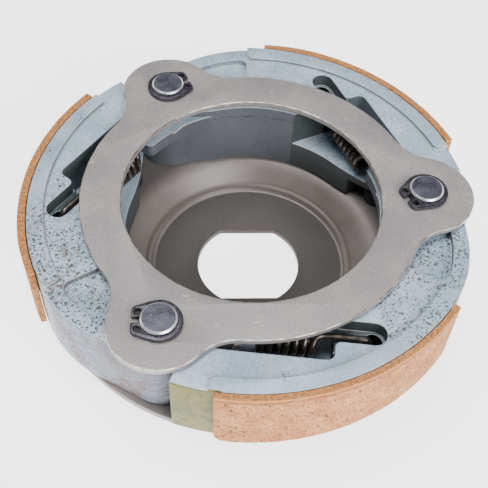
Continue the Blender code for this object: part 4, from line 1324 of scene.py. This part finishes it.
def shade_rim_foot(s, degrees, axis_r, z):
    """Painted shade in the corner where the raised rim meets the top."""
    from_foot = abs(axis_r - (PIN_CIRCLE_R + RIM_OUTSET))
    foot = from_foot.fall(0.15 * MM, 0.5 * MM) * z.fall(RIM_TOP - 0.5 * MM, RIM_TOP)
    foot = foot * degrees.fall(RIM_START_DEG - 1.0, RIM_START_DEG)
    foot = foot * degrees.band(RIM_END_DEG, RIM_END_DEG + 1.0) * z.band(SHOE_TOP - MM, SHOE_TOP - 0.2 * MM)
    s.tint(foot * 0.6, (84, 92, 98))


def tint_glue(s, x, y, degrees):
    """Yellow-green adhesive on the outer face, at the toe and just past the lining's other end."""
    dx = x - DRUM_CENTRE.x
    dy = y - DRUM_CENTRE.y
    outer_face = (dx * dx + dy * dy).root().band(SHOE_OUTER_R - 0.35 * MM, SHOE_OUTER_R - 0.1 * MM)
    by_toe = degrees.fall(LINING_END_DEG + 1.0, LINING_END_DEG + 2.0)
    by_pivot = degrees.band(LINING_START_DEG - 1.0, LINING_START_DEG)
    by_pivot = by_pivot * degrees.fall(LINING_START_DEG + 1.0, LINING_START_DEG + 4.5)
    smear = s.noise(2.2 * MM, 5.0, roughness=0.65).band(0.3, 0.65)
    glue_colour = s.mix(smear, linear(72, 80, 0), linear(118, 110, 0))
    glue_colour = s.mix(s.noise(4 * MM, 3.0).band(0.55, 0.7, 0.0, 0.6), glue_colour, linear(104, 112, 40))
    s.colour = s.mix(outer_face * by_toe.larger(by_pivot) * 0.95, s.colour, glue_colour)


def cast_aluminium(number):
    """The shoe's casting: pale, with dark pits and brown stains, painted shade on its walls and hollows, a
    painted highlight on its upper edges, and adhesive on its outer face.
    """
    s = Surface(f"cast_aluminium_{number}", 0.5, 0.15)
    x, y, z = s.mapped((1, 1, 1), -station_deg(number)).parts()
    degrees = s.math("ARCTAN2", y, x) * math.degrees(1.0)
    axis_r = (x * x + y * y).root()
    wall = 1.0 - s.facing_up()

    clouds = s.noise(11 * MM, 5.0, roughness=0.6)
    s.base(clouds.band(*NOISE_SPAN), (166, 190, 208), (206, 224, 236))
    s.tint(s.noise(5 * MM, 3.0, distortion=0.6).band(0.55, 0.75, 0.0, 0.4), (198, 204, 198))
    grain = s.noise(0.45 * MM, 5.0, roughness=0.75)
    s.tint(grain.band(0.42, 0.68, 0.0, 0.75), (128, 148, 164))

    amount, most_pitted, patches = SHOE_WEAR[number]
    gather = (s.noise(7 * MM, 2.0) + s.near(most_pitted, PITTED_REACH) * 0.35).band(0.6, 0.72)
    pits = s.specks(1.0 * MM, 0.75, 0.4 * MM, 0.5).larger(s.specks(0.65 * MM, 0.8, 0.27 * MM, 0.6))
    pits = pits.larger(s.specks(1.9 * MM, 0.5, 0.55 * MM, 0.4)) * gather * amount
    worn = s.noise(1.6 * MM, 5.0, roughness=0.7).band(0.42, 0.6)
    for point, reach, strength in patches:
        s.tint(s.near(point, reach) * worn * strength, (112, 86, 60))
    s.tint(pits * 0.9, (64, 68, 66))
    hollow_wall = wall * axis_r.fall(57 * MM, 58 * MM) * axis_r.band(46 * MM, 47 * MM)
    s.tint(hollow_wall * amount * 0.6, (92, 90, 80))

    streaks, brown = rust_bands(s)
    by_side = degrees.band(LINING_START_DEG, RIM_START_DEG + 8.0)
    outer_wall = wall * by_side * axis_r.band(50 * MM, 53 * MM) * amount
    # painted shade on the outer walls by the pivot, partly a darker cast tone; the streaks and brown patches
    # on it are weathering
    s.tint(outer_wall * 0.5, (128, 126, 144))
    s.tint(outer_wall * streaks * 0.8, (92, 94, 106))
    s.tint(outer_wall * brown * 0.9, (112, 76, 52))
    tint_walls(s, number, wall, axis_r, z)
    shade_rim_foot(s, degrees, axis_r, z)
    # painted highlight along the rounded upper edges, partly worn bright metal
    s.tint(s.on_edges() * 0.6, (232, 238, 244))
    tint_glue(s, x, y, degrees)
    height = grain + clouds * 0.6 - pits * 1.6 + outer_wall * streaks
    return s.finish(grain.band(*NOISE_SPAN, 0.42, 0.58), s.bump(height, 0.08 * MM, 0.8))


def friction_lining(number):
    """Ground friction compound: flecked, scored along its length, with a darker line under its top edge."""
    s = Surface(f"friction_lining_{number}", 0.85, 0.0, 0.25)
    clouds = s.noise(6 * MM, 4.0)
    s.base(clouds.band(*NOISE_SPAN), (200, 136, 86), (228, 168, 114))
    grain = s.noise(0.75 * MM, 5.0, roughness=0.85)
    s.tint(grain.band(0.46, 0.6, 0.0, 0.85), (142, 82, 56))
    scored = s.stretched((4 * MM, 4 * MM, 0.3 * MM), 3.0).band(0.54, 0.68)
    s.tint(scored * 0.5, (158, 100, 74))
    long_flecks = s.stretched((1.3 * MM, 1.3 * MM, 0.4 * MM), 2.0).band(0.7, 0.74)
    flecks = s.specks(1.5 * MM, 0.5, 0.42 * MM, 0.5).larger(long_flecks)
    s.tint(flecks * 0.85, (66, 42, 34))
    shiny = s.specks(1.1 * MM, 0.3, 0.2 * MM, 0.6)
    s.tint(shiny * 0.8, (252, 230, 208))
    from_top = RIM_TOP - s.place.parts()[2]
    line_place = from_top + (s.noise(2.5 * MM, 4.0) - 0.5) * (1.6 * MM)
    s.tint(line_place.fall(0.9 * MM, 1.4 * MM) * 0.7, (220, 144, 86))
    groove = line_place.band(0.8 * MM, 1.2 * MM) * line_place.fall(1.3 * MM, 2.2 * MM)
    s.tint(groove * 0.6, (126, 66, 40))
    top_colour = s.mix(grain.band(0.35, 0.65), linear(222, 160, 100), linear(140, 86, 52))
    s.colour = s.mix(s.facing_up() * 0.85, s.colour, top_colour)
    lower_rust = from_top.band(18 * MM, 21 * MM) * s.noise(2 * MM, 4.0).band(0.45, 0.6)
    s.tint(lower_rust * 0.5, (196, 120, 66))
    height = grain + clouds - (flecks + scored * 0.7) - groove
    return s.finish(shiny.band(0.0, 1.0, 0.88, 0.5), s.bump(height, 0.14 * MM, 0.9))


def blackened_steel(name, dark, light):
    s = Surface(name, 0.4, 0.5)
    clouds = s.noise(2.5 * MM, 4.0)
    s.base(clouds.band(*NOISE_SPAN), dark, light)
    grain = s.noise(0.4 * MM, 4.0, roughness=0.7)
    s.tint(grain.band(0.45, 0.7, 0.0, 0.5), (140, 140, 152))
    return s.finish(clouds.band(*NOISE_SPAN, 0.34, 0.5), s.bump(grain, 0.04 * MM, 0.7))


def spring_steel():
    s = Surface("spring_steel", 0.3, 0.85)
    s.base(s.noise(2 * MM, 3.0).band(0.35, 0.65), (62, 58, 54), (104, 98, 90))
    return s.finish(s.noise(0.4 * MM).band(*NOISE_SPAN, 0.28, 0.42))


def pressed_steel():
    """The drive plate's steel: smooth and grey-brown, darker on the flat floor inside the bead."""
    s = Surface("pressed_steel", 0.5, 0.4)
    x, y, _ = s.place.parts()
    radius = (x * x + y * y).root()
    clouds = s.noise(16 * MM, 4.0)
    s.base(clouds.band(*NOISE_SPAN), (134, 127, 123), (150, 143, 139))
    s.tint(radius.fall(BEAD_R - BEAD_WIDTH, BEAD_R - BEAD_WIDTH / 2), (80, 76, 73))
    from_valley = abs(radius - (BEAD_R + VALLEY_SHARE * BEAD_WIDTH))
    # painted shade along the valley outside the bead
    s.tint(from_valley.band(0.1 * MM, 1.1 * MM, 0.7, 0.0), (84, 78, 74))
    hub_wall = radius.fall(HUB_HOLE_R + 0.1 * MM, HUB_HOLE_R + 0.3 * MM)
    s.tint(hub_wall * (1.0 - s.facing_up()) * 0.8, (52, 40, 34))
    grain = s.noise(0.4 * MM, 4.0, roughness=0.65)
    s.tint(grain.band(0.35, 0.75, 0.0, 0.35), (104, 97, 92))
    s.tint(s.specks(3.5 * MM, 0.15, 0.18 * MM, 0.6) * 0.6, (70, 64, 60))
    return s.finish(clouds.band(*NOISE_SPAN, 0.46, 0.56), s.bump(grain, 0.03 * MM, 0.5))


def damper_rubber():
    s = Surface("damper_rubber", 0.75, 0.0, 0.3)
    grain = s.noise(0.4 * MM, 3.0)
    s.base(grain.band(*NOISE_SPAN), (30, 30, 31), (46, 45, 45))
    return s.finish(normal=s.bump(grain, 0.05 * MM, 0.5))


# Camera, floor and light

def make_camera():
    data = bpy.data.cameras.new("camera")
    data.lens = CAMERA_LENS
    data.sensor_width = CAMERA_SENSOR
    data.clip_start = CAMERA_CLIP_START
    camera = add_object("camera", data)
    place = Vector(CAMERA_PLACE)
    look = Vector(CAMERA_AIM) - place
    upright = look.to_track_quat("-Z", "Y").to_matrix().to_4x4()
    camera.matrix_world = Matrix.Translation(place) @ upright @ about_z(CAMERA_ROLL_DEG)
    bpy.context.scene.camera = camera


def make_floor():
    bm = bmesh.new()
    corners = ((-1, -1), (1, -1), (1, 1), (-1, 1))
    bm.faces.new([bm.verts.new((x * FLOOR_REACH, y * FLOOR_REACH, 0.0)) for x, y in corners])
    floor = add_object("floor", finish_mesh("floor", bm))
    surface = Surface("floor_white", 0.9, 0.0, 0.1)
    surface.feed(surface.shader, {"Emission Color": (1, 1, 1), "Emission Strength": FLOOR_GLOW})
    surface.colour = FLOOR_COLOUR
    floor.data.materials.append(surface.finish())


def make_light(name, place, power):
    data = bpy.data.lights.new(name, "AREA")
    data.energy = power
    data.size = LIGHT_SIZE
    light = add_object(name, data)
    light.location = place
    light.rotation_mode = "QUATERNION"
    light.rotation_quaternion = (Vector(LIGHT_AIM) - Vector(place)).to_track_quat("-Z", "Y")


def make_world():
    """A soft dome of light that fades from overhead down to a pale haze on the horizon."""
    world = bpy.data.worlds.new("studio")
    world.use_nodes = True
    graph = Graph(world.node_tree)
    height = graph.value("TexCoord", "Generated", {}).parts()[2]
    fade = {"Value": height, "To Min": HORIZON_LIGHT, "To Max": OVERHEAD_LIGHT}
    dome = graph.value("MapRange", "Result", fade)
    fade = {"Value": height, "From Max": HAZE_HEIGHT, "To Min": HAZE_GLOW, "To Max": 0.0}
    haze = graph.value("MapRange", "Result", fade)
    graph.feed(world.node_tree.nodes["Background"], {"Strength": dome + haze})
    bpy.context.scene.world = world


def main():
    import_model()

    make_camera()
    make_floor()
    make_world()
    for name, place, power in LIGHTS:
        make_light(name, place, power)

    dark_steel = blackened_steel("blackened_steel", (66, 66, 78), (98, 98, 112))
    clip_steel = blackened_steel("clip_steel", (46, 43, 50), (76, 71, 79))
    # pin chamfer colour: a painted highlight, partly bright bare metal
    pin_edge_highlight = edge_wear_and_light("pin_edge_highlight", (214, 216, 226), (250, 251, 255))
    # circlip edge colour: a painted dark outline
    clip_edge_shade = edge_wear_and_light("clip_edge_shade", (24, 22, 28), (72, 68, 76))
    # side plate edge colour: worn bright metal, partly a painted highlight
    plate_edge_wear_and_highlight = edge_wear_and_light("plate_edge_wear_and_highlight", (150, 144, 136), (226, 220, 210))
    rubber = damper_rubber()
    coil_steel = spring_steel()

    make_drive_plate(pressed_steel())
    make_side_plate(plate_steel(), plate_edge_wear_and_highlight)
    casting = shoe_mesh()
    coil = skin("spring", wire_rings(spring_path()))
    for number in STATIONS:
        make_pin(number, dark_steel, pin_edge_highlight)
        make_circlip(number, clip_steel, clip_edge_shade)
        make_shoe(number, casting, cast_aluminium(number))
        make_lining(number, friction_lining(number))
        make_spring(number, coil, coil_steel)
        make_damper(number, "damper_stud", stud_profile(), dark_steel)
        make_damper(number, "damper_rubber", rubber_profile(), rubber)


main()
